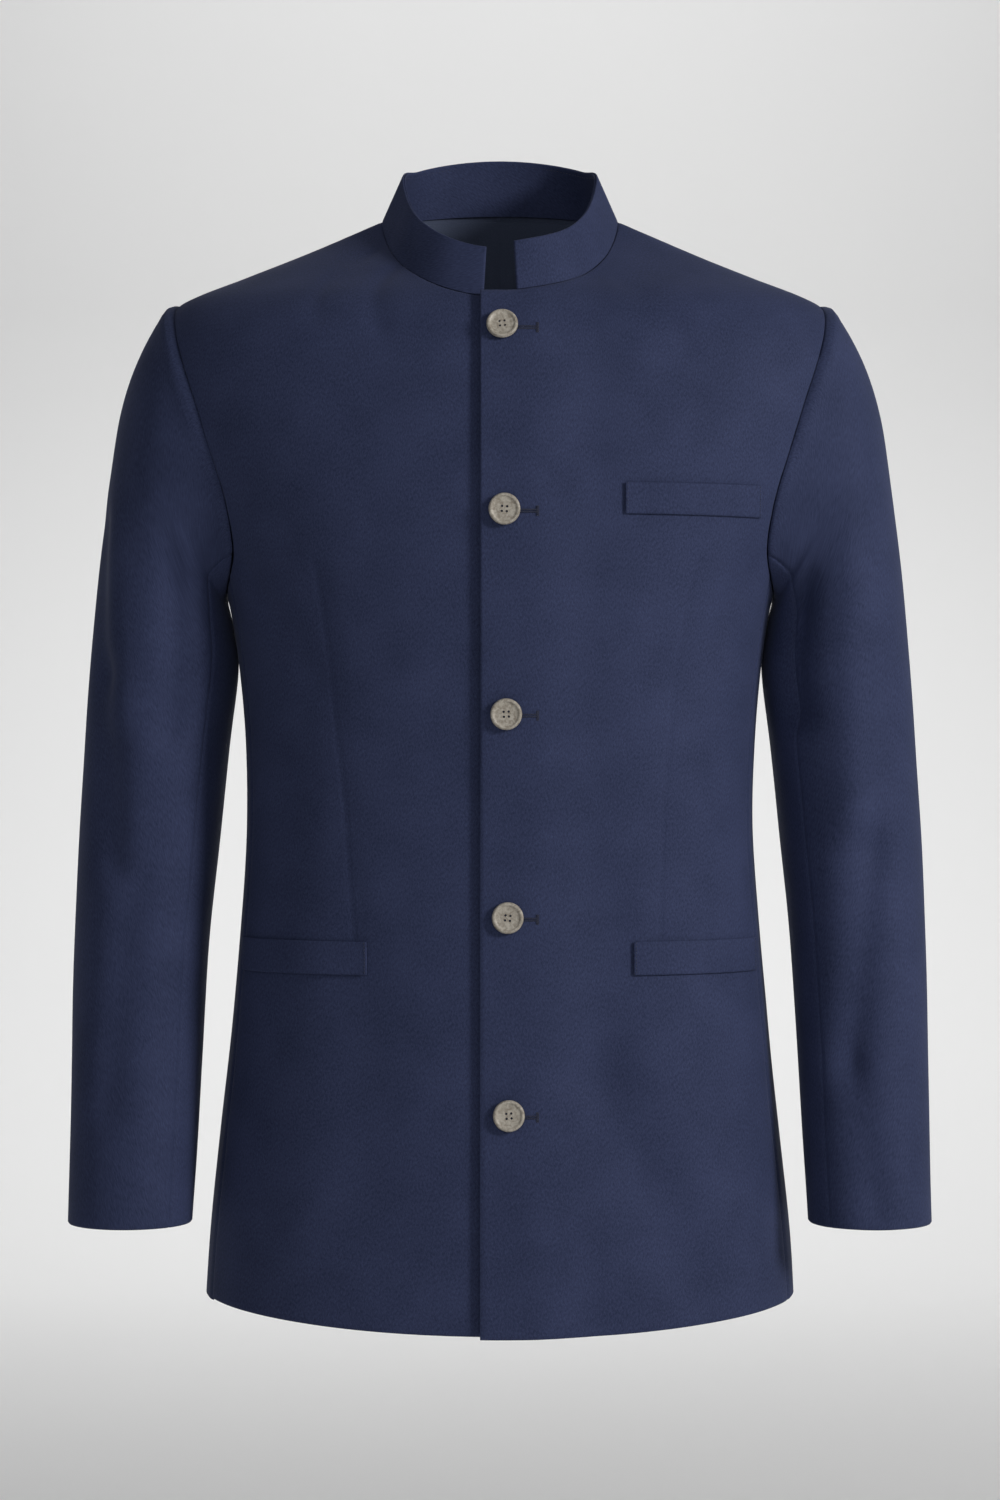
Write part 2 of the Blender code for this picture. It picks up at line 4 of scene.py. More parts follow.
import bpy
import numpy as np
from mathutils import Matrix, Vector


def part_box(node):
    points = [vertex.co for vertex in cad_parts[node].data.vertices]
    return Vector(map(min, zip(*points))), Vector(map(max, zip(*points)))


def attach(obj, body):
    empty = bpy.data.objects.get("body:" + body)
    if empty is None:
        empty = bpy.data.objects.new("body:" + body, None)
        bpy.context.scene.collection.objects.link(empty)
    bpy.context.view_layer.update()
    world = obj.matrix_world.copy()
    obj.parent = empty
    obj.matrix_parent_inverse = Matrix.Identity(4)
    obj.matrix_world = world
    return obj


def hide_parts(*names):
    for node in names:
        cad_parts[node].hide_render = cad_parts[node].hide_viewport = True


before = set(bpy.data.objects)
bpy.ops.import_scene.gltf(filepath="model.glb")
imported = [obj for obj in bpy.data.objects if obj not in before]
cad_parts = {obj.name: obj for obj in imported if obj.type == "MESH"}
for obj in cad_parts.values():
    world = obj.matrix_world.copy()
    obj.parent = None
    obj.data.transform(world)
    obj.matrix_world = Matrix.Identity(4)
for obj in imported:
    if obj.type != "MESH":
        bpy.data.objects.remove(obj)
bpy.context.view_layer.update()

# ============================================================== the two fronts
# Each front is one panel of navy wool twill over its lining. The wearer's left front laps over
# the right one, and each has a narrow dart from under the chest down to the hip pocket. They are
# cut on the jacket's form, a stack of level sections named by a turn round the body in degrees,
# 0 at the centre front and 180 at the centre back, and a height.
CLOTH = 0.0016                  # shell and lining together
SEAM = 0.0003                   # the pieces' solids keep this apart
HEM_FRONT = -0.7745
HEM_SIDE_RISE = 0.0145
HEM_BACK_RISE = 0.0040
UNDER_FRONT_RISE = 0.0015       # the under front is a little shorter
NECK_HALF_WIDTH = 0.0840
NECK_POINT = 0.0040             # height of the shoulder seam's neck end
NECK_DROP_FRONT = 0.0645
NECK_RISE_BACK = 0.0180
NECK_TAPER = 0.55
OVERLAP = 0.0135                # over front's edge, past the centre line
UNDERLAP = 0.0170
LAP_STEP = 0.0052               # the over front stands this far out on the under front
LAP_FADE = (0.018, 0.070)
ARMHOLE_TOP = -0.0570
ARMHOLE_BOTTOM = -0.2620
ARMHOLE_HALF_TURN = 35.0
ARMHOLE_SQUARENESS = 2.4
RING_STEPS = 24                 # steps round the armhole, 0 at the shoulder tip
SIDE_SEAM_STEP = 10
BACK_SEAM_STEP = 15
TORSO_RADIUS = 0.16
SEAM_GAP = 0.00002              # sewn pieces all but touch
SEAM_TRIM = math.degrees(SEAM_GAP / 2 / TORSO_RADIUS)
COLLAR_END_TURN = 7.8

Section = namedtuple("Section", "height half_width front back squareness")
TORSO = [
    Section(0.004, 0.0840, 0.0060, 0.0798, 2.20),
    Section(-0.004, 0.1020, 0.0165, 0.0841, 2.20),
    Section(-0.019, 0.1363, 0.0375, 0.0920, 2.20),
    Section(-0.038, 0.1825, 0.0655, 0.1000, 2.20),
    Section(-0.057, 0.2270, 0.0940, 0.1060, 2.20),
    Section(-0.078, 0.2450, 0.1105, 0.1120, 2.22),
    Section(-0.105, 0.2510, 0.1200, 0.1180, 2.25),
    Section(-0.135, 0.2470, 0.1260, 0.1230, 2.25),
    Section(-0.170, 0.2345, 0.1295, 0.1260, 2.28),
    Section(-0.205, 0.2175, 0.1300, 0.1260, 2.30),
    Section(-0.240, 0.2005, 0.1285, 0.1230, 2.30),
    Section(-0.275, 0.1918, 0.1260, 0.1180, 2.30),
    Section(-0.320, 0.1852, 0.1225, 0.1110, 2.30),
    Section(-0.370, 0.1812, 0.1185, 0.1040, 2.30),
    Section(-0.430, 0.1804, 0.1150, 0.1010, 2.30),
    Section(-0.500, 0.1852, 0.1150, 0.1080, 2.30),
    Section(-0.570, 0.1912, 0.1170, 0.1180, 2.30),
    Section(-0.640, 0.1985, 0.1190, 0.1260, 2.30),
    Section(-0.710, 0.2060, 0.1200, 0.1310, 2.30),
    Section(-0.780, 0.2105, 0.1205, 0.1330, 2.30),
]
TORSO_KEYS = [-row.height for row in TORSO]

# A fold is a soft trough (depth below zero) or ridge between two points, (turn, height).
Fold = namedtuple("Fold", "side start_turn start_z end_turn end_z width depth")
TORSO_FOLDS = [
    Fold(1, 24.0, -0.480, 21.0, -0.600, 0.020, -0.0032),
    Fold(1, 21.0, -0.600, 36.0, -0.730, 0.024, -0.0048),
    Fold(-1, 30.0, -0.520, 26.0, -0.700, 0.022, -0.0026),
    Fold(1, 152.0, -0.330, 168.0, -0.470, 0.028, -0.0038),
    Fold(-1, 154.0, -0.340, 166.0, -0.450, 0.026, -0.0034),
    Fold(1, 160.0, -0.620, 150.0, -0.780, 0.030, -0.0040),
    Fold(-1, 164.0, -0.600, 152.0, -0.780, 0.028, -0.0036),
    Fold(-1, 38.0, -0.366, 13.0, -0.298, 0.018, 0.0014),
    Fold(-1, 24.0, -0.040, 19.0, -0.085, 0.006, -0.0016),
    Fold(-1, 38.0, -0.024, 30.0, -0.075, 0.006, -0.0013),
    Fold(1, 24.0, -0.050, 30.0, -0.095, 0.007, -0.0012),
    Fold(1, 58.0, -0.250, 40.0, -0.330, 0.014, -0.0020),
    Fold(-1, 60.0, -0.245, 42.0, -0.320, 0.013, -0.0022),
    Fold(1, 124.0, -0.240, 140.0, -0.330, 0.015, -0.0022),
    Fold(-1, 122.0, -0.235, 143.0, -0.340, 0.014, -0.0020),
]


def between(rows, keys, place, column):
    """Values of a table's column at places along its keys, on a smooth curve through the rows."""
    values = np.array([getattr(row, column) for row in rows])
    keys = np.asarray(keys, float)
    last = len(keys) - 1
    i = np.clip(np.searchsorted(keys, place) - 1, 0, last - 1)
    before = np.maximum(i - 1, 0)
    after = np.minimum(i + 2, last)
    span = keys[i + 1] - keys[i]
    slope_a = (values[i + 1] - values[before]) / (keys[i + 1] - keys[before])
    slope_b = (values[after] - values[i]) / (keys[after] - keys[i])
    t = (place - keys[i]) / span
    return (values[i] * (1 + 2 * t) * (1 - t) ** 2 + slope_a * span * t * (1 - t) ** 2
            + values[i + 1] * t * t * (3 - 2 * t) + slope_b * span * t * t * (t - 1))


def torso(column, height):
    value = between(TORSO, TORSO_KEYS, -np.minimum(height, NECK_POINT), column)
    if column == "back":
        value = value - NECK_TAPER * np.maximum(height - NECK_POINT, 0.0)
    return value


def fade(value, start, stop):
    """1 before start, 0 after stop, and smooth between them."""
    t = np.clip((value - start) / (stop - start), 0.0, 1.0)
    return 1 - t * t * (3 - 2 * t)


def rounded(angle, squareness):
    """Sine and cosine of a corner-filled circle, a superellipse of radius 1."""
    sine = np.sin(angle)
    cosine = np.cos(angle)
    size = (np.abs(sine) ** squareness + np.abs(cosine) ** squareness) ** (-1 / squareness)
    return sine * size, cosine * size


def turn_at(x, height):
    """Turn of the front point of the section at this height that lies x from the centre."""
    n = torso("squareness", height)
    share = np.minimum((np.abs(x) / torso("half_width", height)) ** n, 1 - 1e-9)
    return np.copysign(np.degrees(np.arctan((share / (1 - share)) ** (1 / n))), x)


def folds_at(folds, side, turn, height, radius):
    """Sum of the folds' depths at points of the unrolled surface, whose radius is known."""
    total = np.zeros(np.broadcast(turn, height).shape)
    here = np.stack(np.broadcast_arrays(np.radians(turn) * radius, height), -1)
    for fold in folds:
        if fold.side != side:
            continue
        start = np.array((math.radians(fold.start_turn) * radius, fold.start_z))
        run = np.array((math.radians(fold.end_turn) * radius, fold.end_z)) - start
        along = np.clip(((here - start) @ run) / (run @ run), 0.0, 1.0)
        gap = np.linalg.norm(here - start - along[..., None] * run, axis=-1)
        total += fold.depth * np.exp(-((gap / fold.width) ** 2))
    return total


def torso_base(turn, height):
    turn, height = np.broadcast_arrays(turn, height)
    sine, cosine = rounded(np.radians(turn), torso("squareness", height))
    depth = np.where(np.abs(turn) <= 90, torso("front", height), torso("back", height))
    return np.stack([torso("half_width", height) * sine, -depth * cosine, height], -1)


def outward(surface, turn, height, d_turn=0.4, d_height=0.0010):
    """Unit normals of a surface function of a turn and a height or distance."""
    across = surface(turn + d_turn, height) - surface(turn - d_turn, height)
    up = surface(turn, height + d_height) - surface(turn, height - d_height)
    normal = np.cross(across, up)
    return normal / np.linalg.norm(normal, axis=-1, keepdims=True)


def body_surface(side, lap):
    """Outer face of one side of the torso, drawn on the wearer's left."""
    def surface(turn, height):
        base = torso_base(turn, height)
        raised = np.where(np.abs(turn) < 90, lap * fade(base[..., 0], *LAP_FADE), 0.0)
        raised = raised + folds_at(TORSO_FOLDS, side, turn, height, TORSO_RADIUS)
        return base + outward(torso_base, turn, height) * raised[..., None]
    return surface


def hem_height(turn):
    angle = np.radians(turn)
    return HEM_FRONT + HEM_SIDE_RISE * np.sin(angle) ** 2 + HEM_BACK_RISE * (1 - np.cos(angle)) / 2


def armhole(step, grow):
    """Turns and heights of points round the armhole, step 0 being the shoulder tip."""
    sine, cosine = rounded(2 * math.pi * np.asarray(step, float) / RING_STEPS, ARMHOLE_SQUARENESS)
    middle = (ARMHOLE_TOP + ARMHOLE_BOTTOM) / 2
    half_height = (ARMHOLE_TOP - ARMHOLE_BOTTOM) / 2
    half_turn = ARMHOLE_HALF_TURN + np.degrees(grow / torso("half_width", np.array(middle)))
    return 90 - half_turn * sine, middle + (half_height + grow) * cosine


def neckline(turn):
    """Turns and heights of the body's neck edge, for turns round the neck."""
    angle = np.radians(turn)
    steep = NECK_RISE_BACK + (NECK_DROP_FRONT - NECK_RISE_BACK) * fade(turn, 60, 120)
    height = NECK_POINT - steep * np.cos(angle)
    body_turn = turn_at(NECK_HALF_WIDTH * np.sin(angle), height)
    return np.where(turn <= 90, body_turn, 180 - body_turn), height


def ridge(height, gap):
    """Turns on the shoulder seam, kept back from the ridge by a gap, above zero in front."""
    depth = torso("front" if gap > 0 else "back", height)
    return 90 - np.degrees(np.arcsin(np.clip(gap / depth, -1, 1)))


def quarter_girth(behind, height):
    depth = torso("back" if behind else "front", height)
    return math.pi / 2 * np.hypot(torso("half_width", height), depth) / math.sqrt(2)


def laid_flat(turn, height, behind):
    """Places as (length round the body from the centre line, height)."""
    from_centre = turn - 180 if behind else turn
    return np.stack([quarter_girth(behind, height) * from_centre / 90, height], -1)


ARMHOLE_HOLD = 5.0              # how closely the armhole's pull keeps to it, near the shoulder


def fill(bottom, top, left, right, behind):
    """Turns and heights of a panel inside its four edges, worked out on the cloth laid flat."""
    spots = [laid_flat(*edge, behind) for edge in (bottom, top, left, right)]
    bottom, top, left, right = spots
    u = np.concatenate([[0], np.cumsum(np.linalg.norm(np.diff(top, axis=0), axis=1))])
    u = (u / u[-1])[None, :, None]
    v = ((right[:, 1] - right[0, 1]) / (right[-1, 1] - right[0, 1]))[:, None, None]
    hold = 1 + ARMHOLE_HOLD * v ** 3
    u = 1 - (1 - u) ** hold if behind else u ** hold
    level = (1 - v) * bottom[None] + v * top[None] + (1 - u) * left[:, None] + u * right[:, None]
    level -= (1 - u) * ((1 - v) * bottom[0] + v * top[0]) + u * ((1 - v) * bottom[-1] + v * top[-1])
    turn = 90 * level[..., 0] / quarter_girth(behind, level[..., 1])
    return (180 + turn if behind else turn), level[..., 1]


def edge_spaced(*edges):
    """The same edges with extra points close to both ends, where seams and turned edges are."""
    count = len(edges[0])
    even = np.linspace(0, 1, count)
    near = np.array([0.002, 0.0045, 0.0085, 0.015])
    spots = np.unique(np.concatenate([even, near, 1 - near]))
    return [np.interp(spots, even, edge) for edge in edges]


def follow(turns, heights, column, path):
    """Bends the columns round one column until that one runs down a path of (turn, height)."""
    path_turns, path_heights = np.array(path).T
    wanted = np.interp(-heights[:, column], -path_heights, path_turns)
    share = fade(heights[:, column], path_heights[0], path_heights[0] + 0.10)
    share = share * fade(-heights[:, column], -path_heights[-1], -path_heights[-1] + 0.10)
    shift = (wanted - turns[:, column]) * share
    reach = np.clip(1 - np.abs(np.arange(turns.shape[1]) - column) / min(column, 30), 0, 1)
    reach = reach * reach * (3 - 2 * reach)
    return turns + shift[:, None] * reach


def rumple(points, waves, seed):
    """Soft unevenness from -1 to 1, a sum of waves whose lengths lie in a range."""
    draw = np.random.default_rng(seed)
    total = np.zeros(points.shape[:-1])
    count = 9
    for _ in range(count):
        way = draw.normal(size=3)
        way /= np.linalg.norm(way)
        length = draw.uniform(*waves)
        total += np.sin(points @ way * (2 * math.pi / length) + draw.uniform(0, 2 * math.pi))
    return total / math.sqrt(count) / 1.5


def set_inputs(node, **values):
    """Sets a node's inputs, an underscore standing for the space in an input's name."""
    for label, value in values.items():
        node.inputs[label.replace("_", " ")].default_value = value
    return node


def wire(links, *rows):
    """Links nodes, each row being a node, its output, the next node and its input."""
    for source, output, target, entry in rows:
        links.new(source.outputs[output], target.inputs[entry])


def blank_look(name):
    """A new material, with its nodes, its links and its shader."""
    look = bpy.data.materials.new(name)
    look.use_nodes = True
    nodes = look.node_tree.nodes
    return look, nodes, look.node_tree.links, nodes["Principled BSDF"]


def shade_ramp(nodes, dark, light, dark_at=0.0, light_at=1.0):
    ramp = nodes.new("ShaderNodeValToRGB")
    for end, at, colour in zip(ramp.color_ramp.elements, (dark_at, light_at), (dark, light)):
        end.position = at
        end.color = (*colour, 1)
    return ramp


TWILL_SLANT = math.radians(-27)
TWILL_SHARE = 0.05              # of the diagonal lines in the height of the weave
CLOUD_SHARE = 0.35              # of the slow changes in the shade
YARN_STRETCH = 0.60
ROUGHNESS_SPREAD = 0.06


def cloth_nodes(name, dark, light, twill_pitch, roughness, sheen, weave_depth):
    """A woven cloth: diagonal twill lines, uneven yarns and slow changes of shade, on its UVs."""
    look, nodes, links, shader = blank_look(name)
    set_inputs(shader, Sheen_Weight=sheen, Sheen_Roughness=0.45,
               Sheen_Tint=(0.62, 0.70, 1.0, 1.0), Specular_IOR_Level=0.25)
    laid = nodes.new("ShaderNodeUVMap")
    laid.uv_map = "cloth"
    slanted = nodes.new("ShaderNodeMapping")
    set_inputs(slanted, Rotation=(0, 0, TWILL_SLANT))
    lines = nodes.new("ShaderNodeTexWave")
    lines.wave_type = "BANDS"
    lines.bands_direction = "X"
    set_inputs(lines, Scale=2 * math.pi / 20 / twill_pitch, Distortion=4.5, Detail=3,
               Detail_Scale=1.1)
    drawn_out = nodes.new("ShaderNodeMapping")
    set_inputs(drawn_out, Rotation=(0, 0, TWILL_SLANT), Scale=(1.0, YARN_STRETCH, 1.0))
    yarns = nodes.new("ShaderNodeTexNoise")
    set_inputs(yarns, Scale=1.0 / twill_pitch, Detail=3, Roughness=0.65)
    place = nodes.new("ShaderNodeTexCoord")
    cloud = set_inputs(nodes.new("ShaderNodeTexNoise"), Scale=26, Detail=4)
    woven = nodes.new("ShaderNodeMath")
    woven.operation = "MULTIPLY_ADD"
    woven.inputs[1].default_value = TWILL_SHARE
    clouded = nodes.new("ShaderNodeMath")
    clouded.operation = "MULTIPLY_ADD"
    clouded.inputs[1].default_value = CLOUD_SHARE
    shade = shade_ramp(nodes, dark, light, 0.45, 0.98)
    rough = set_inputs(nodes.new("ShaderNodeMapRange"), To_Min=roughness - ROUGHNESS_SPREAD,
                       To_Max=roughness + ROUGHNESS_SPREAD)
    bump = set_inputs(nodes.new("ShaderNodeBump"), Strength=0.55, Distance=weave_depth)
    wire(links,
         (laid, "UV", slanted, "Vector"), (slanted, "Vector", lines, "Vector"),
         (laid, "UV", drawn_out, "Vector"), (drawn_out, "Vector", yarns, "Vector"),
         (place, "Object", cloud, "Vector"),
         (lines, "Fac", woven, 0), (yarns, "Fac", woven, 2),
         (cloud, "Fac", clouded, 0), (woven, "Value", clouded, 2),
         (clouded, "Value", shade, "Fac"), (shade, "Color", shader, "Base Color"),
         (yarns, "Fac", rough, "Value"), (rough, "Result", shader, "Roughness"),
         (woven, "Value", bump, "Height"), (bump, "Normal", shader, "Normal"))
    return look


twill_look = cloth_nodes("navy_wool_twill", (0.016, 0.024, 0.064), (0.051, 0.065, 0.148),
                         0.0013, 0.80, 0.08, 0.00014)
lining_look = cloth_nodes("navy_lining_twill", (0.060, 0.075, 0.125), (0.100, 0.122, 0.190),
                          0.0007, 0.50, 0.02, 0.00006)

Edges = namedtuple("Edges", "left right low high")   # "seam", "turned" (folded under) or "plain"
SEAM_GROOVE = (0.0007, 0.0013)      # how deep a seam sinks, and how far from it the cloth rises
PRESSED_RIDGE = (0.00018, 0.0065)   # the seam allowance lifts the cloth beside it
TURNED_RADIUS = 0.0008
UNEVENNESS = ((0.045, 0.16), 0.00035)     # wave lengths and height, all over
PUCKER = ((0.007, 0.016), 0.00016)        # and beside a seam
PUCKER_REACH = 0.006


def put(name, data):
    """An object of this name in the scene."""
    made = bpy.data.objects.new(name, data)
    bpy.context.scene.collection.objects.link(made)
    return made


def cloth_piece(name, surface, turns, heights, side, edges, relief=None, wall=CLOTH, offset=0.0,
                facing=0.0, looks=(twill_look, lining_look)):
    """A closed shell of cloth on a surface, side -1 mirroring it to the wearer's right.

    Its seams sink, its turned edges are rounded, and its inside shows the lining but for a
    facing so far from the left edge.
    """
    base = surface(turns, heights)
    out = outward(surface, turns, heights)
    out[np.abs(base[..., 0]) < 0.0005] *= (0, 1, 1)     # halves meet on the centre line
    across = np.linalg.norm(np.diff(base, axis=1), axis=2)
    upward = np.linalg.norm(np.diff(base, axis=0), axis=2)
    from_left = np.pad(np.cumsum(across, 1), ((0, 0), (1, 0)))
    from_low = np.pad(np.cumsum(upward, 0), ((1, 0), (0, 0)))
    gaps = Edges(from_left, from_left[:, -1:] - from_left, from_low, from_low[-1:] - from_low)
    worn = base * np.array((side, 1, 1))
    lift = rumple(worn, UNEVENNESS[0], 3) * UNEVENNESS[1]
    pucker = rumple(worn, PUCKER[0], 5) * PUCKER[1]
    rounding = np.zeros(lift.shape)
    for gap, kind in zip(gaps, edges):
        if kind == "seam":
            lift -= SEAM_GROOVE[0] * np.exp(-((gap / SEAM_GROOVE[1]) ** 2))
            lift += PRESSED_RIDGE[0] * np.exp(-(((gap - 0.005) / PRESSED_RIDGE[1]) ** 2))
            lift += pucker * np.exp(-gap / PUCKER_REACH)
        elif kind == "turned":
            inside = np.clip(1 - gap / TURNED_RADIUS, 0, 1)
            rounding += TURNED_RADIUS * (1 - np.sqrt(1 - inside * inside))
    rounding = np.minimum(rounding, wall * 0.49)
    if relief is not None:
        lift = lift + relief(turns, heights, base, gaps)
    outer = base + out * (offset + lift - rounding)[..., None]
    inner = base + out * (offset + lift - wall + rounding)[..., None]
    tall, wide = turns.shape
    count = tall * wide
    points = np.concatenate([outer.reshape(-1, 3), inner.reshape(-1, 3)]) * np.array((side, 1, 1))
    a = (np.arange(tall - 1)[:, None] * wide + np.arange(wide - 1)).ravel()
    shown = np.stack([a, a + 1, a + wide + 1, a + wide], 1)
    hidden = shown[:, ::-1] + count
    rim = np.concatenate([np.arange(wide), np.arange(1, tall) * wide + wide - 1,
                          count - 1 - np.arange(1, wide), np.arange(tall - 2, 0, -1) * wide])
    after = np.roll(rim, -1)
    edge = np.stack([after, rim, rim + count, after + count], 1)
    faces = np.concatenate([shown, hidden, edge])
    if side < 0:
        faces = faces[:, ::-1]
    mesh = bpy.data.meshes.new(name)
    mesh.from_pydata(points.tolist(), [], faces.tolist())
    flat = np.stack([gaps.left * side, gaps.low], -1).reshape(-1, 2)
    flat = np.concatenate([flat, flat])
    corners = np.zeros(len(mesh.loops), int)
    mesh.loops.foreach_get("vertex_index", corners)
    mesh.uv_layers.new(name="cloth").data.foreach_set("uv", flat[corners].astype("f").ravel())
    for look in looks:
        mesh.materials.append(look)
    if len(looks) > 1:
        faced = (gaps.left[:-1, :-1].ravel() > facing).astype(int)
        kinds = np.concatenate([np.zeros(len(shown), int), faced, np.zeros(len(edge), int)])
        mesh.polygons.foreach_set("material_index", kinds.astype("i"))
    mesh.shade_smooth()
    mesh.set_sharp_from_angle(angle=math.radians(60))
    mesh.validate()
    return put(name, mesh)


def wear(piece, node):
    """Puts a sheet of cloth on the jacket's body in place of its plain solid."""
    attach(piece, "root")
    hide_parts(node)


SIDES = (("left", 1), ("right", -1))
FRONT_ROWS = 175                # rows below the armhole
FRONT_HOLE_ROWS = 62            # rows beside it
NECK_TURNS = np.linspace(COLLAR_END_TURN, 90, 40)
FACING_WIDTH = 0.085

# (turn, height) down each dart: the wearer's left, then the right
DARTS = {
    1: ((41.0, -0.245), (39.5, -0.300), (36.5, -0.440), (34.8, -0.505)),
    -1: ((38.0, -0.250), (37.0, -0.330), (34.0, -0.440), (31.5, -0.505)),
}
DART_COLUMN = {1: 62, -1: 60}
DART_GROOVE = (0.00055, 0.0012)     # depth and half width of the seam
DART_HOLLOW = (0.0009, 0.011)       # and of the dip round it


def front_places(past_centre, rise):
    half_gap = SEAM_GAP / 2
    hole_turns, hole_heights = armhole(np.linspace(SIDE_SEAM_STEP, 0, FRONT_HOLE_ROWS), half_gap)
    hole_turns[-1] = ridge(hole_heights[-1], half_gap)
    seam_turn = hole_turns[0] - SEAM_TRIM
    side_heights = np.linspace(hem_height(seam_turn) + rise, hole_heights[0], FRONT_ROWS)[:-1]
    right = edge_spaced(np.concatenate([np.full(FRONT_ROWS - 1, seam_turn), hole_turns]),
                        np.concatenate([side_heights, hole_heights]))
    neck_turns, neck_heights = neckline(NECK_TURNS)
    share = (right[1] - right[1][0]) / (right[1][-1] - right[1][0])
    left_heights = hem_height(0) + rise + (neck_heights[0] - hem_height(0) - rise) * share
    left = turn_at(-past_centre, left_heights), left_heights
    neck_turns[-1] = ridge(NECK_POINT, half_gap)
    lap_turns = np.linspace(left[0][-1], neck_turns[0], 12)[:-1]
    shoulder_heights = np.linspace(NECK_POINT, right[1][-1], 52)[1:]
    top = edge_spaced(
        np.concatenate([lap_turns, neck_turns, ridge(shoulder_heights, half_gap)]),
        np.concatenate([np.full(len(lap_turns), neck_heights[0]), neck_heights, shoulder_heights]))
    turns = np.linspace(left[0][0], seam_turn, len(top[0]))
    bottom = turns, hem_height(turns) + rise
    return fill(bottom, top, left, right, False)


def dart_relief(side):
    path_turns, path_heights = np.array(DARTS[side]).T

    def relief(turns, heights, base, gaps):
        line = np.interp(-heights, -path_heights, path_turns)
        away = np.radians(turns - line) * TORSO_RADIUS
        here = fade(heights, path_heights[0], path_heights[0] + 0.012)
        here = here * fade(-heights, -path_heights[-1], -path_heights[-1] + 0.004)
        groove = -DART_GROOVE[0] * np.exp(-((away / DART_GROOVE[1]) ** 2))
        hollow = -DART_HOLLOW[0] * np.exp(-((away / DART_HOLLOW[1]) ** 2))
        return (groove + hollow) * here
    return relief


for word, side, past, lap, rise in (("left", 1, OVERLAP, LAP_STEP, 0.0),
                                    ("right", -1, UNDERLAP, 0.0, UNDER_FRONT_RISE)):
    turns, heights = front_places(past, rise)
    turns = follow(turns, heights, DART_COLUMN[side], DARTS[side])
    piece = cloth_piece(f"front_{word}_cloth", body_surface(side, lap), turns, heights, side,
                        Edges("turned", "seam", "turned", "seam"), dart_relief(side),
                        facing=FACING_WIDTH)
    wear(piece, f"front_{word}")

# ============================================================== the back
# Two halves of the same cloth meet in the centre-back seam. They are sewn to the fronts on the
# shoulders and to the side panels below the arms.
BACK_NECK_TURNS = np.linspace(90, 180, 44)
BACK_SEAM_LAP = 0.0001          # the halves run this far into each other


def back_places():
    half_gap = SEAM_GAP / 2
    hole_turns, hole_heights = armhole(
        np.linspace(BACK_SEAM_STEP, RING_STEPS, FRONT_HOLE_ROWS), half_gap)
    hole_turns[-1] = ridge(hole_heights[-1], -half_gap)
    seam_turn = hole_turns[0] + SEAM_TRIM
    side_heights = np.linspace(hem_height(seam_turn), hole_heights[0], FRONT_ROWS)[:-1]
    left = edge_spaced(np.concatenate([np.full(FRONT_ROWS - 1, seam_turn), hole_turns]),
                       np.concatenate([side_heights, hole_heights]))
    share = (left[1] - left[1][0]) / (left[1][-1] - left[1][0])
    centre_top = NECK_POINT + NECK_RISE_BACK
    centre_heights = hem_height(180.0) + (centre_top - hem_height(180.0)) * share
    centre = 180 - turn_at(-BACK_SEAM_LAP, centre_heights), centre_heights
    shoulder_heights = np.linspace(left[1][-1], NECK_POINT, 52)[:-1]
    neck_turns, neck_heights = neckline(BACK_NECK_TURNS)
    neck_turns[0] = ridge(NECK_POINT, -half_gap)
    neck_turns[-1] = centre[0][-1]
    top = edge_spaced(np.concatenate([ridge(shoulder_heights, -half_gap), neck_turns]),
                      np.concatenate([shoulder_heights, neck_heights]))
    turns = np.linspace(seam_turn, centre[0][0], len(top[0]))
    return fill((turns, hem_height(turns)), top, left, centre, True)


for word, side in SIDES:
    turns, heights = back_places()
    piece = cloth_piece(f"back_{word}_cloth", body_surface(side, 0.0), turns, heights, side,
                        Edges("seam", "seam", "turned", "seam"))
    wear(piece, f"back_{word}")

# ============================================================== the side panels
# A narrow panel under each arm joins the front to the back, from the armhole to the hem.


def side_places():
    steps = np.linspace(SIDE_SEAM_STEP, BACK_SEAM_STEP, 26)
    top_turns, top_heights = edge_spaced(*armhole(steps, SEAM_GAP / 2))
    top_turns[0] += SEAM_TRIM
    top_turns[-1] -= SEAM_TRIM
    straight = np.linspace(top_turns[0], top_turns[-1], len(top_turns))
    share = edge_spaced(np.linspace(0, 1, 165))[0][:, None]
    low = hem_height(straight)
    return straight + (top_turns - straight) * share ** 4, low + (top_heights - low) * share


for word, side in SIDES:
    turns, heights = side_places()
    piece = cloth_piece(f"side_panel_{word}_cloth", body_surface(side, 0.0), turns, heights, side,
                        Edges("seam", "seam", "turned", "seam"))
    wear(piece, f"side_panel_{word}")

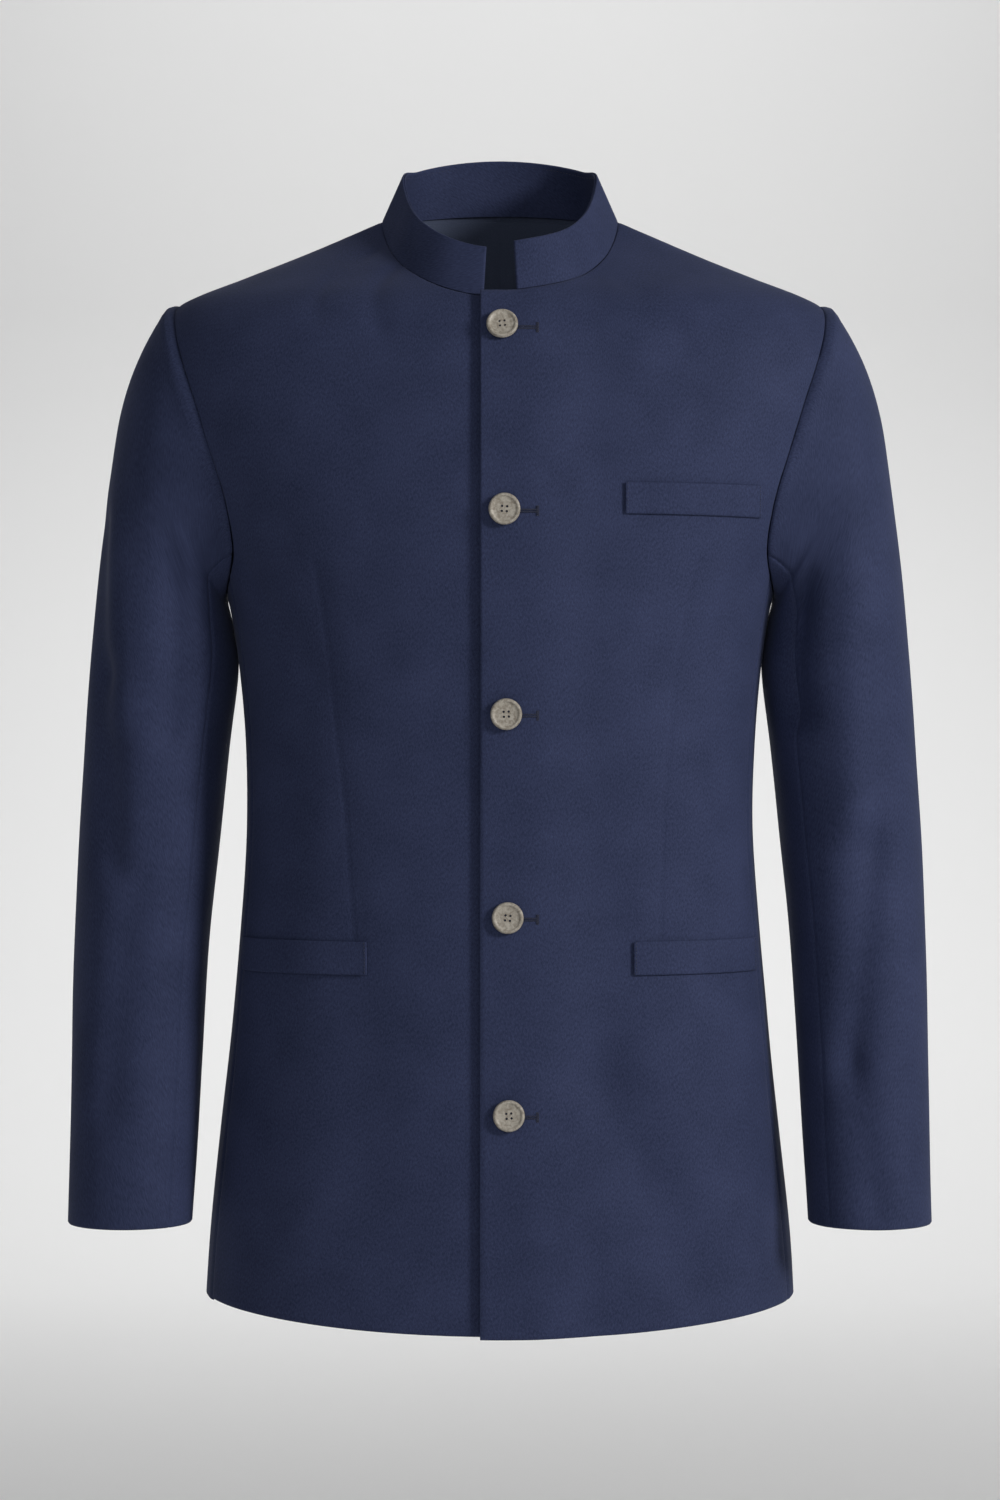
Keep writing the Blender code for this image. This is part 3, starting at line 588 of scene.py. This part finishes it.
# ============================================================== the sleeves
# Each sleeve is two pieces, a top and an under one, set into the armhole with a little ease, so
# that its head stands up past the seam. The cloth drags in soft folds at the elbow.
Ring = namedtuple("Ring", "outer_x outer_z inner_x inner_z half_depth centre_y squareness")
SLEEVE = [
    Ring(0.2270, -0.0570, 0.1945, -0.2620, 0.0700, 0.000, 2.30),
    Ring(0.2395, -0.0640, 0.1954, -0.2650, 0.0715, 0.001, 2.30),
    Ring(0.2578, -0.0965, 0.1953, -0.2680, 0.0720, 0.002, 2.30),
    Ring(0.2700, -0.1325, 0.1943, -0.2715, 0.0715, 0.003, 2.25),
    Ring(0.2778, -0.1780, 0.1925, -0.2770, 0.0700, 0.004, 2.20),
    Ring(0.2850, -0.2300, 0.1901, -0.2880, 0.0685, 0.005, 2.15),
    Ring(0.2913, -0.2950, 0.1872, -0.3150, 0.0670, 0.006, 2.10),
    Ring(0.2962, -0.3620, 0.1934, -0.3680, 0.0645, 0.006, 2.08),
    Ring(0.3005, -0.4350, 0.2005, -0.4380, 0.0615, 0.003, 2.05),
    Ring(0.3028, -0.5100, 0.2072, -0.5120, 0.0580, -0.006, 2.05),
    Ring(0.3032, -0.5900, 0.2112, -0.5910, 0.0540, -0.018, 2.05),
    Ring(0.3030, -0.6530, 0.2140, -0.6530, 0.0505, -0.030, 2.05),
    Ring(0.3032, -0.7043, 0.2166, -0.7043, 0.0480, -0.041, 2.05),
]
SLEEVE_KEYS = list(range(len(SLEEVE)))
FORE_SEAM_STEP = 9
HIND_SEAM_STEP = 17
ARM_RADIUS = 0.055
CAP_RINGS = 3.0
SLEEVE_FOLDS = [
    Fold(1, 116.0, -0.150, 134.0, -0.345, 0.014, -0.0080),
    Fold(1, 78.0, -0.205, 92.0, -0.420, 0.015, 0.0034),
    Fold(1, 50.0, -0.330, 76.0, -0.440, 0.016, -0.0042),
    Fold(1, 76.0, -0.440, 108.0, -0.590, 0.017, -0.0052),
    Fold(1, 108.0, -0.590, 88.0, -0.690, 0.017, -0.0030),
    Fold(1, 300.0, -0.330, 250.0, -0.440, 0.016, -0.0062),
    Fold(1, 325.0, -0.430, 262.0, -0.560, 0.015, -0.0056),
    Fold(-1, 40.0, -0.170, 62.0, -0.350, 0.015, 0.0030),
    Fold(-1, 24.0, -0.215, 44.0, -0.320, 0.014, -0.0038),
    Fold(-1, 44.0, -0.320, 66.0, -0.450, 0.015, -0.0046),
    Fold(-1, 100.0, -0.160, 108.0, -0.360, 0.014, -0.0060),
    Fold(-1, 88.0, -0.470, 70.0, -0.620, 0.018, -0.0038),
    Fold(-1, 296.0, -0.350, 252.0, -0.460, 0.016, -0.0062),
    Fold(-1, 320.0, -0.450, 264.0, -0.570, 0.015, -0.0052),
]
ROPING = 0.0016                 # how far the head stands up past the seam
ROPING_PLACE = (0.0065, 0.0060)


def sleeve_ring(turn, distance):
    """Points of the plain sleeve at turns round the arm, so many rings down it."""
    turn, distance = np.broadcast_arrays(turn, distance)
    outer_x, outer_z, inner_x, inner_z, half_depth, centre_y, squareness = (
        between(SLEEVE, SLEEVE_KEYS, distance, column) for column in Ring._fields)
    sine, cosine = rounded(np.radians(turn), squareness)
    return np.stack([(outer_x + inner_x) / 2 + (outer_x - inner_x) / 2 * cosine,
                     centre_y - half_depth * sine,
                     (outer_z + inner_z) / 2 + (outer_z - inner_z) / 2 * cosine], -1)


def sleeve_base(turn, distance):
    turn, distance = np.broadcast_arrays(turn, distance)
    seam = torso_base(*armhole(turn * RING_STEPS / 360, -SEAM_GAP / 2))
    share = fade(distance, 0, CAP_RINGS)
    return sleeve_ring(turn, distance) + (seam - sleeve_ring(turn, 0.0)) * share[..., None]


def sleeve_surface(side):
    """Outer face of one sleeve, with its folds, drawn on the wearer's left."""
    def surface(turn, distance):
        base = sleeve_base(turn, distance)
        depth = folds_at(SLEEVE_FOLDS, side, turn % 360, base[..., 2], ARM_RADIUS)
        depth = depth * (1 - fade(distance, CAP_RINGS, CAP_RINGS + 2))
        return base + outward(sleeve_base, turn, distance) * depth[..., None]
    return surface


def head_relief(turns, distances, base, gaps):
    """The sleeve head's soft roll past the armhole seam, strongest over the shoulder."""
    over = np.clip(np.cos(np.radians(turns)), 0, 1) ** 0.5
    roll = np.exp(-(((gaps.low - ROPING_PLACE[0]) / ROPING_PLACE[1]) ** 2))
    return ROPING * over * roll


def sleeve_places(first, last, columns):
    trim = math.degrees(SEAM_GAP / 2 / ARM_RADIUS)
    turns = edge_spaced(np.linspace(first * 15 + trim, last * 15 - trim, columns))[0]
    rings = np.linspace(0, len(SLEEVE) - 1, 400)
    run = sleeve_base(0.0, rings)
    gone = np.concatenate([[0], np.cumsum(np.linalg.norm(np.diff(run, axis=0), axis=1))])
    inner_run = sleeve_base(180.0, rings)
    gone = gone + np.concatenate(
        [[0], np.cumsum(np.linalg.norm(np.diff(inner_run, axis=0), axis=1))])
    rows = edge_spaced(np.interp(np.linspace(0, gone[-1], 215), gone, rings))[0]
    return np.meshgrid(turns, rows)


for word, side in SIDES:
    for part, first, last, columns, flat, area in (
            ("top", HIND_SEAM_STEP, RING_STEPS + FORE_SEAM_STEP, 78, (0.245, 0.660), 0.135),
            ("under", FORE_SEAM_STEP, HIND_SEAM_STEP, 38, (0.130, 0.480), 0.050)):
        turns, distances = sleeve_places(first, last, columns)
        piece = cloth_piece(f"{part}_sleeve_{word}_cloth", sleeve_surface(side), turns, distances,
                            side, Edges("seam", "seam", "seam", "turned"), head_relief)
        wear(piece, f"{part}_sleeve_{word}")

# ============================================================== the collar
# The band collar is two strips of the twill over a stiff interlining, sewn together along the top
# and turned. It stands round the neck and stops short of the centre front at both ends.
COLLAR_PLY = 0.0013
COLLAR_TOP_HALF_WIDTH = 0.0695
COLLAR_LEAN_FRONT = 0.0140
COLLAR_LEAN_BACK = 0.0080
COLLAR_RISE = 0.0355
COLLAR_SIDE_DROP = 0.0032       # the band is this much narrower at the sides
BAND_TURN_UNDER = 0.10          # share of its height that the inner band goes on below the seam


def collar_surface(turn, share):
    """Outer face of the band, for turns round the whole neck and shares of its height."""
    turn, share = np.broadcast_arrays(turn, share)
    on_left = turn <= 180
    own_turn = np.where(on_left, turn, 360 - turn)
    angle = np.radians(own_turn)
    places = neckline(own_turn)
    base = np.where(on_left[..., None], body_surface(1, LAP_STEP)(*places),
                    body_surface(-1, 0.0)(*places))
    lean = COLLAR_LEAN_BACK + (COLLAR_LEAN_FRONT - COLLAR_LEAN_BACK) * fade(own_turn, 60, 120)
    x = base[..., 0] * (1 + share * (COLLAR_TOP_HALF_WIDTH / NECK_HALF_WIDTH - 1))
    y = base[..., 1] + share * lean * np.cos(angle)
    rise = COLLAR_RISE - COLLAR_SIDE_DROP * np.sin(angle) ** 2
    z = base[..., 2] + share * rise
    return np.stack([np.where(on_left, x, -x), y, z], -1)


collar_turns = edge_spaced(np.linspace(COLLAR_END_TURN, 360 - COLLAR_END_TURN, 260))[0]
collar_shares = np.unique(np.concatenate(
    [np.linspace(0, 1, 24), (0.01, 0.022, 0.978, 0.99)]))
for word, offset, drop in (("outer", 0.0, 0.0), ("inner", -COLLAR_PLY - SEAM, BAND_TURN_UNDER)):
    collar_grid = np.meshgrid(collar_turns, collar_shares * (1 + drop) - drop)
    piece = cloth_piece(f"collar_{word}_band_cloth", collar_surface, *collar_grid, 1,
                        Edges("turned", "turned", "plain", "turned"), wall=COLLAR_PLY,
                        offset=offset, looks=(twill_look,))
    wear(piece, f"collar_{word}_band")

# ============================================================== the lining
# Inside the back of the neck shows the lining, a smoother navy cloth in two halves. A pleat down
# its centre gives the wearer room to move.
LINING_PLY = 0.0010
LINING_TOP_GAP = 0.0060
PLEAT_STAND = 0.0032
PLEAT_PLACE = (0.007, 0.006)        # from the centre line, and its half width
lining_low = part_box("back_lining_left")[0].z


def pleat_relief(turns, heights, base, gaps):
    opening = 1 - fade(-heights, -NECK_POINT - NECK_RISE_BACK, 0.06)
    roll = np.exp(-(((gaps.right - PLEAT_PLACE[0]) / PLEAT_PLACE[1]) ** 2))
    return -PLEAT_STAND * opening * roll


turns, heights = back_places()
first_column = int(np.argmax(heights[-1] >= NECK_POINT))
lining_high = NECK_POINT + NECK_RISE_BACK - LINING_TOP_GAP
rows = (heights[:, -1] > lining_low) & (heights[:, -1] < lining_high)
lining_turns = turns[rows][:, first_column:]
lining_heights = heights[rows][:, first_column:]
for word, side in SIDES:
    piece = cloth_piece(f"back_lining_{word}_cloth", body_surface(side, 0.0), lining_turns,
                        lining_heights, side, Edges("plain", "plain", "plain", "plain"),
                        pleat_relief, wall=LINING_PLY, offset=-CLOTH - SEAM,
                        looks=(lining_look,))
    wear(piece, f"back_lining_{word}")

# ============================================================== the pocket welts
# Three welts are folded strips of the twill lying on the fronts, one on the left chest and one
# on each hip, sewn down at their ends.
WELT_PLY = 0.0012
WELT_STAND = 0.0019
WELT_SUNK = 0.0008              # its lower face lies this far in the front
WELT_FACE = WELT_STAND + WELT_PLY - WELT_SUNK
Welt = namedtuple("Welt", "name side inner_x outer_x top bottom")
WELTS = [
    Welt("chest_welt", 1, 0.0850, 0.1800, -0.1905, -0.2120),
    Welt("hip_welt_left", 1, 0.0920, 0.1790, -0.5045, -0.5275),
    Welt("hip_welt_right", -1, 0.0915, 0.1790, -0.5045, -0.5275),
]
for row in WELTS:
    x = edge_spaced(np.linspace(row.inner_x, row.outer_x, 60))[0]
    z = edge_spaced(np.linspace(row.bottom, row.top, 14))[0]
    xs, heights = np.meshgrid(x, z)
    surface = body_surface(row.side, LAP_STEP if row.side > 0 else 0.0)
    piece = cloth_piece(f"{row.name}_cloth", surface, turn_at(xs, heights), heights, row.side,
                        Edges("turned", "turned", "turned", "turned"), wall=WELT_PLY,
                        offset=WELT_FACE, looks=(twill_look,))
    wear(piece, row.name)

# ============================================================== the buttons
# Five four-hole buttons of mottled grey horn, turned with a raised rim, are sewn to the under
# front, each on a short thread shank that stands in its buttonhole.
BUTTON_RADIUS = 0.0108
BUTTON_THICKNESS = 0.0036
BUTTON_SHANK = 0.0012
HOLE_RADIUS = 0.00085
HOLE_CIRCLE = 0.0024            # the four holes' distance from the middle
BUTTON_PLACES = ((0.0015, -0.0855), (0.0030, -0.2095), (0.0042, -0.3480),
                 (0.0052, -0.4875), (0.0060, -0.6220))     # from the centre line, height

horn_look, nodes, links, shader = blank_look("mottled_grey_horn")
set_inputs(shader, Coat_Weight=0.15, Coat_Roughness=0.25)
place = nodes.new("ShaderNodeTexCoord")
grain = set_inputs(nodes.new("ShaderNodeTexNoise"), Scale=420, Detail=5, Distortion=0.8)
ramp = shade_ramp(nodes, (0.30, 0.26, 0.21), (0.52, 0.48, 0.41), 0.34, 0.62)
rough = set_inputs(nodes.new("ShaderNodeMapRange"), To_Min=0.34, To_Max=0.55)
wire(links,
     (place, "Object", grain, "Vector"), (grain, "Fac", ramp, "Fac"),
     (ramp, "Color", shader, "Base Color"),
     (grain, "Fac", rough, "Value"), (rough, "Result", shader, "Roughness"))

thread_look, nodes, links, shader = blank_look("navy_silk_thread")
set_inputs(shader, Roughness=0.45, Sheen_Weight=0.2)
place = nodes.new("ShaderNodeTexCoord")
twist = set_inputs(nodes.new("ShaderNodeTexNoise"), Scale=1500)
ramp = shade_ramp(nodes, (0.008, 0.011, 0.028), (0.030, 0.038, 0.090))
wire(links, (place, "Object", twist, "Vector"), (twist, "Fac", ramp, "Fac"),
     (ramp, "Color", shader, "Base Color"))

BUTTON_SIDES = 56
over_front = body_surface(1, LAP_STEP)


def turned_mesh(name, outline, sides):
    """A closed shape turned round Z from half of its outline, top to bottom."""
    radii, heights = np.array(outline).T
    angles = np.arange(sides) * 2 * math.pi / sides
    rings = np.stack([np.outer(radii, np.cos(angles)), np.outer(radii, np.sin(angles)),
                      np.repeat(heights[:, None], sides, 1)], -1)
    points = np.concatenate([rings.reshape(-1, 3), [(0, 0, heights[0]), (0, 0, heights[-1])]])
    faces = []
    for r in range(len(radii) - 1):
        for s in range(sides):
            t = (s + 1) % sides
            faces.append((r * sides + s, (r + 1) * sides + s, (r + 1) * sides + t, r * sides + t))
    top = len(points) - 2
    low = (len(radii) - 1) * sides
    for s in range(sides):
        t = (s + 1) % sides
        faces.append((top, s, t))
        faces.append((top + 1, low + t, low + s))
    mesh = bpy.data.meshes.new(name)
    mesh.from_pydata(points.tolist(), [], faces)
    mesh.shade_smooth()
    mesh.set_sharp_from_angle(angle=math.radians(45))
    return mesh


def line_on(surface, xs, heights, stand):
    """A row of points that stand off a body surface, with their normals."""
    turns = turn_at(xs, heights)
    out = outward(surface, turns, heights)
    return surface(turns, heights) + out * stand, out


def place_on(surface, x, height, stand):
    """A matrix whose Z is the surface's normal, at a point that stands off the surface."""
    at, out = line_on(surface, np.array(x), np.array(height), stand)
    right = np.cross((0, 0, 1), out)
    right /= np.linalg.norm(right)
    up = np.cross(out, right)
    matrix = np.eye(4)
    matrix[:3, 0] = right
    matrix[:3, 1] = up
    matrix[:3, 2] = out
    matrix[:3, 3] = at
    return matrix


def joined(name, shapes, look):
    """One object from several (mesh, matrix) shapes."""
    points, faces, smooth = [], [], []
    for mesh, matrix in shapes:
        co = np.zeros(len(mesh.vertices) * 3)
        mesh.vertices.foreach_get("co", co)
        co = co.reshape(-1, 3) @ matrix[:3, :3].T + matrix[:3, 3]
        base = len(points)
        points += co.tolist()
        faces += [tuple(base + i for i in p.vertices) for p in mesh.polygons]
    made = bpy.data.meshes.new(name)
    made.from_pydata(points, [], faces)
    made.materials.append(look)
    made.shade_smooth()
    made.set_sharp_from_angle(angle=math.radians(45))
    return put(name, made)


def drilled(outline_mesh, holes_mesh):
    """The turned button with its four holes cut through."""
    body = put("button_blank", outline_mesh)
    drill = put("button_drill", holes_mesh)
    cut = body.modifiers.new("holes", "BOOLEAN")
    cut.object = drill
    cut.solver = "EXACT"
    graph = bpy.context.evaluated_depsgraph_get()
    mesh = bpy.data.meshes.new_from_object(body.evaluated_get(graph))
    bpy.data.objects.remove(body)
    bpy.data.objects.remove(drill)
    return mesh


edge, thick = BUTTON_RADIUS, BUTTON_THICKNESS
rim_bead = [(edge * (0.87 + 0.10 * math.cos(a)), thick * (0.80 + 0.20 * math.sin(a)))
            for a in np.radians([170, 140, 110, 90, 65, 40, 15, -10])]
button_outline = ([(edge * 0.10, thick * 0.66), (edge * 0.40, thick * 0.67),
                   (edge * 0.66, thick * 0.72), (edge * 0.74, thick * 0.78)] + rim_bead
                  + [(edge, thick * 0.62), (edge, thick * 0.38), (edge * 0.97, thick * 0.22),
                     (edge * 0.88, thick * 0.06), (edge * 0.70, 0.0), (edge * 0.1, 0.0)])
hole_rod = [(HOLE_RADIUS, thick * 1.5), (HOLE_RADIUS, -thick * 0.5)]
rod_mesh = turned_mesh("hole_rod", hole_rod, 14)
hole_spots = [(HOLE_CIRCLE * math.cos(a), HOLE_CIRCLE * math.sin(a))
              for a in np.radians([45, 135, 225, 315])]


def shifted(x, y, z):
    matrix = np.eye(4)
    matrix[:3, 3] = (x, y, z)
    return matrix


holes = joined("button_holes", [(rod_mesh, shifted(x, y, 0)) for x, y in hole_spots], horn_look)
button_form = drilled(turned_mesh("button_outline", button_outline, BUTTON_SIDES), holes.data)
bpy.data.objects.remove(holes)
plug = turned_mesh("thread_plug", [(0.0003, thick * 0.50), (0.00078, thick * 0.42),
                                   (0.00078, -0.0002), (0.0003, -0.0002)], 10)
shank = turned_mesh("thread_shank", [(0.0020, 0.0001), (0.0023, -0.0004), (0.0024, -0.0012),
                                     (0.0020, -0.0014)], 16)
TILTS = (2.0, -1.5, 1.0, -2.0, 1.5)
for number, (place, tilt) in enumerate(zip(BUTTON_PLACES, TILTS), 1):
    seat = place_on(over_front, *place, BUTTON_SHANK)
    spin = math.radians(tilt * 3)
    turned = np.eye(4)
    turned[:2, :2] = ((math.cos(spin), -math.sin(spin)), (math.sin(spin), math.cos(spin)))
    seat = seat @ turned
    piece = joined(f"button_{number}_horn", [(button_form, seat)], horn_look)
    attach(piece, "root")
    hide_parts(f"button_{number}")
    threads = [(plug, seat @ shifted(x, y, 0)) for x, y in hole_spots] + [(shank, seat)]
    piece = joined(f"button_{number}_thread", threads, thread_look)
    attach(piece, "root")

# ============================================================== buttonholes and stitching
# Keyhole buttonholes are worked across the over front in navy silk, with a bar at the inner end.
# The same thread edges the collar inside and closes the ends of the welts.
stitch_tree = bpy.data.node_groups.new("stitches", "GeometryNodeTree")
face = stitch_tree.interface
face.new_socket("Geometry", in_out="INPUT", socket_type="NodeSocketGeometry")
for label in ("Pitch", "Length", "Width", "Height"):
    face.new_socket(label, in_out="INPUT", socket_type="NodeSocketFloat")
face.new_socket("Material", in_out="INPUT", socket_type="NodeSocketMaterial")
face.new_socket("Geometry", in_out="OUTPUT", socket_type="NodeSocketGeometry")
nodes = stitch_tree.nodes
given = nodes.new("NodeGroupInput")
result = nodes.new("NodeGroupOutput")
to_curve = nodes.new("GeometryNodeMeshToCurve")
resample = nodes.new("GeometryNodeResampleCurve")
resample.mode = "LENGTH"
stitch = set_inputs(nodes.new("GeometryNodeMeshUVSphere"), Segments=8, Rings=5, Radius=0.5)
size = nodes.new("ShaderNodeCombineXYZ")
normal = nodes.new("GeometryNodeInputNamedAttribute")
normal.data_type = "FLOAT_VECTOR"
set_inputs(normal, Name="face_out")
tangent = nodes.new("GeometryNodeInputTangent")
stand_up = nodes.new("FunctionNodeAlignRotationToVector")
stand_up.axis = "Z"
along = nodes.new("FunctionNodeAlignRotationToVector")
along.axis = "X"
along.pivot_axis = "Z"
scatter = nodes.new("GeometryNodeInstanceOnPoints")
realize = nodes.new("GeometryNodeRealizeInstances")
smooth = nodes.new("GeometryNodeSetShadeSmooth")
finish = nodes.new("GeometryNodeSetMaterial")
wire(stitch_tree.links,
     (given, "Geometry", to_curve, "Mesh"), (to_curve, "Curve", resample, "Curve"),
     (given, "Pitch", resample, "Length"), (given, "Length", size, "X"),
     (given, "Width", size, "Y"), (given, "Height", size, "Z"),
     (normal, "Attribute", stand_up, "Vector"), (stand_up, "Rotation", along, "Rotation"),
     (tangent, "Tangent", along, "Vector"), (resample, "Curve", scatter, "Points"),
     (stitch, "Mesh", scatter, "Instance"), (along, "Rotation", scatter, "Rotation"),
     (size, "Vector", scatter, "Scale"), (scatter, "Instances", realize, "Geometry"),
     (realize, "Geometry", smooth, "Geometry"), (smooth, "Geometry", finish, "Geometry"),
     (given, "Material", finish, "Material"), (finish, "Geometry", result, "Geometry"))
stitch_sockets = {item.name: item.identifier for item in face.items_tree
                  if item.in_out == "INPUT"}


def sewn(name, rows, pitch, length, width, height, look):
    """Stitches along rows of (points, normals), as one plain mesh."""
    points, normals, edges = [], [], []
    for row_points, row_normals in rows:
        base = len(points)
        points += row_points.tolist()
        normals += row_normals.tolist()
        edges += [(base + i, base + i + 1) for i in range(len(row_points) - 1)]
    lines = bpy.data.meshes.new(name + "_lines")
    lines.from_pydata(points, edges, [])
    attribute = lines.attributes.new("face_out", "FLOAT_VECTOR", "POINT")
    attribute.data.foreach_set("vector", np.array(normals, "f").ravel())
    holder = put(name + "_lines", lines)
    sewing = holder.modifiers.new("stitches", "NODES")
    sewing.node_group = stitch_tree
    for label, value in (("Pitch", pitch), ("Length", length), ("Width", width),
                         ("Height", height), ("Material", look)):
        sewing[stitch_sockets[label]] = value
    graph = bpy.context.evaluated_depsgraph_get()
    mesh = bpy.data.meshes.new_from_object(holder.evaluated_get(graph))
    bpy.data.objects.remove(holder)
    mesh.name = name
    piece = put(name, mesh)
    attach(piece, "root")
    return piece


BUTTONHOLE = (0.0030, 0.0250)       # from the front's centre line
BUTTONHOLE_DROP = 0.0012            # the hole hangs a little below the button's middle
BUTTONHOLE_LIP = 0.00075            # its purls lie this far above and below its line
BAR_REACH = 0.0032
purls = []
bars = []
for _, height in BUTTON_PLACES:
    level = height - BUTTONHOLE_DROP
    x = np.linspace(*BUTTONHOLE, 24)
    for lip in (-BUTTONHOLE_LIP, BUTTONHOLE_LIP):
        purls.append(line_on(over_front, x, np.full(24, level + lip), 0.0002))
    for nudge in (0.0, 0.0008):
        z = np.linspace(level - BAR_REACH, level + BAR_REACH, 12)
        bars.append(line_on(over_front, np.full(12, BUTTONHOLE[1] + nudge), z, 0.0003))
sewn("buttonhole_purls", purls, 0.0007, 0.00055, 0.0014, 0.0005, thread_look)
sewn("buttonhole_bars", bars, 0.0006, 0.0005, 0.0015, 0.0006, thread_look)

COLLAR_ROW_SHARE = 0.90             # of the band's height
collar_row_turns = np.linspace(30, 330, 320)
collar_row_share = np.full(320, COLLAR_ROW_SHARE)
row_out = outward(collar_surface, collar_row_turns, collar_row_share, 0.4, 0.02)
row_points = collar_surface(collar_row_turns, collar_row_share)
row_points = row_points - row_out * (2 * COLLAR_PLY + SEAM)
sewn("collar_top_stitches", [(row_points, -row_out)], 0.0028, 0.0020, 0.0005, 0.0004, thread_look)

welt_ends = []
for row in WELTS:
    surface = body_surface(row.side, LAP_STEP if row.side > 0 else 0.0)
    for x in (row.inner_x + 0.0016, row.outer_x - 0.0016):
        z = np.linspace(row.bottom + 0.002, row.top - 0.001, 14)
        points, out = line_on(surface, np.full(14, x), z, WELT_FACE)
        mirror = np.array((row.side, 1, 1))
        welt_ends.append((points * mirror, out * mirror))
sewn("welt_end_stitches", welt_ends, 0.0022, 0.0016, 0.0005, 0.0004, thread_look)

# ============================================================== the studio
# A pale floor that sweeps up into a wall, a soft light on the right, a weaker one in front, one
# for the wall alone, and even light all round.
FLOOR = -1.15
SWEEP_START = 2.6
SWEEP_RADIUS = 1.6
SWEEP_TOP = 5.0
SWEEP_HALF_WIDTH = 7
floor_look, nodes, links, shader = blank_look("pale_sweep")
set_inputs(shader, Roughness=0.9, Specular_IOR_Level=0.1)
place = nodes.new("ShaderNodeTexCoord")
paper = set_inputs(nodes.new("ShaderNodeTexNoise"), Scale=1.2)
ramp = shade_ramp(nodes, (0.83, 0.83, 0.83), (0.86, 0.86, 0.855))
wire(links, (place, "Object", paper, "Vector"), (paper, "Fac", ramp, "Fac"),
     (ramp, "Color", shader, "Base Color"))
sweep = [(-5.0, FLOOR), (SWEEP_START, FLOOR)]
sweep += [(SWEEP_START + SWEEP_RADIUS * math.sin(a), FLOOR + SWEEP_RADIUS * (1 - math.cos(a)))
          for a in np.linspace(0.1, math.pi / 2, 16)]
sweep += [(SWEEP_START + SWEEP_RADIUS, SWEEP_TOP)]
mesh = bpy.data.meshes.new("studio_sweep")
mesh.from_pydata([(x, y, z) for y, z in sweep for x in (-SWEEP_HALF_WIDTH, SWEEP_HALF_WIDTH)], [],
                 [(2 * i, 2 * i + 1, 2 * i + 3, 2 * i + 2) for i in range(len(sweep) - 1)])
mesh.materials.append(floor_look)
mesh.shade_smooth()
floor = put("studio_sweep", mesh)


def soft_light(name, at, aim, size, power, colour, spread=180):
    light = bpy.data.lights.new(name, "AREA")
    light.shape = "DISK"
    light.size = size
    light.energy = power
    light.spread = math.radians(spread)
    light.color = colour
    lamp = put(name, light)
    lamp.location = at
    lamp.rotation_euler = (Vector(aim) - Vector(at)).to_track_quat("-Z", "Y").to_euler()


soft_light("key_light", (2.7, -1.8, 0.75), (0, 0, -0.15), 0.8, 60, (1.0, 0.985, 0.97))
soft_light("fill_light", (-0.4, -3.4, 0.65), (0, 0, 0.0), 1.4, 11, (0.96, 0.98, 1.0))
soft_light("wall_light", (0.0, 2.9, 3.2), (0, 4.0, -0.9), 3.0, 46, (1, 1, 1), 100)
world = bpy.data.worlds.new("studio_air")
world.use_nodes = True
set_inputs(world.node_tree.nodes["Background"], Color=(0.97, 0.98, 1.0, 1), Strength=0.16)
bpy.context.scene.world = world
bpy.context.scene.view_settings.view_transform = "Standard"

CAMERA_BACK = 2.6
CAMERA_HEIGHT = -0.373
LENS_MM = 87.36
SENSOR_MM = 36
lens = bpy.data.cameras.new("camera")
lens.lens = LENS_MM
lens.sensor_width = SENSOR_MM
lens.clip_end = 100
camera = put("camera", lens)
camera.location = (0, -CAMERA_BACK, CAMERA_HEIGHT)
camera.rotation_euler = (math.radians(90), 0, 0)
bpy.context.scene.camera = camera
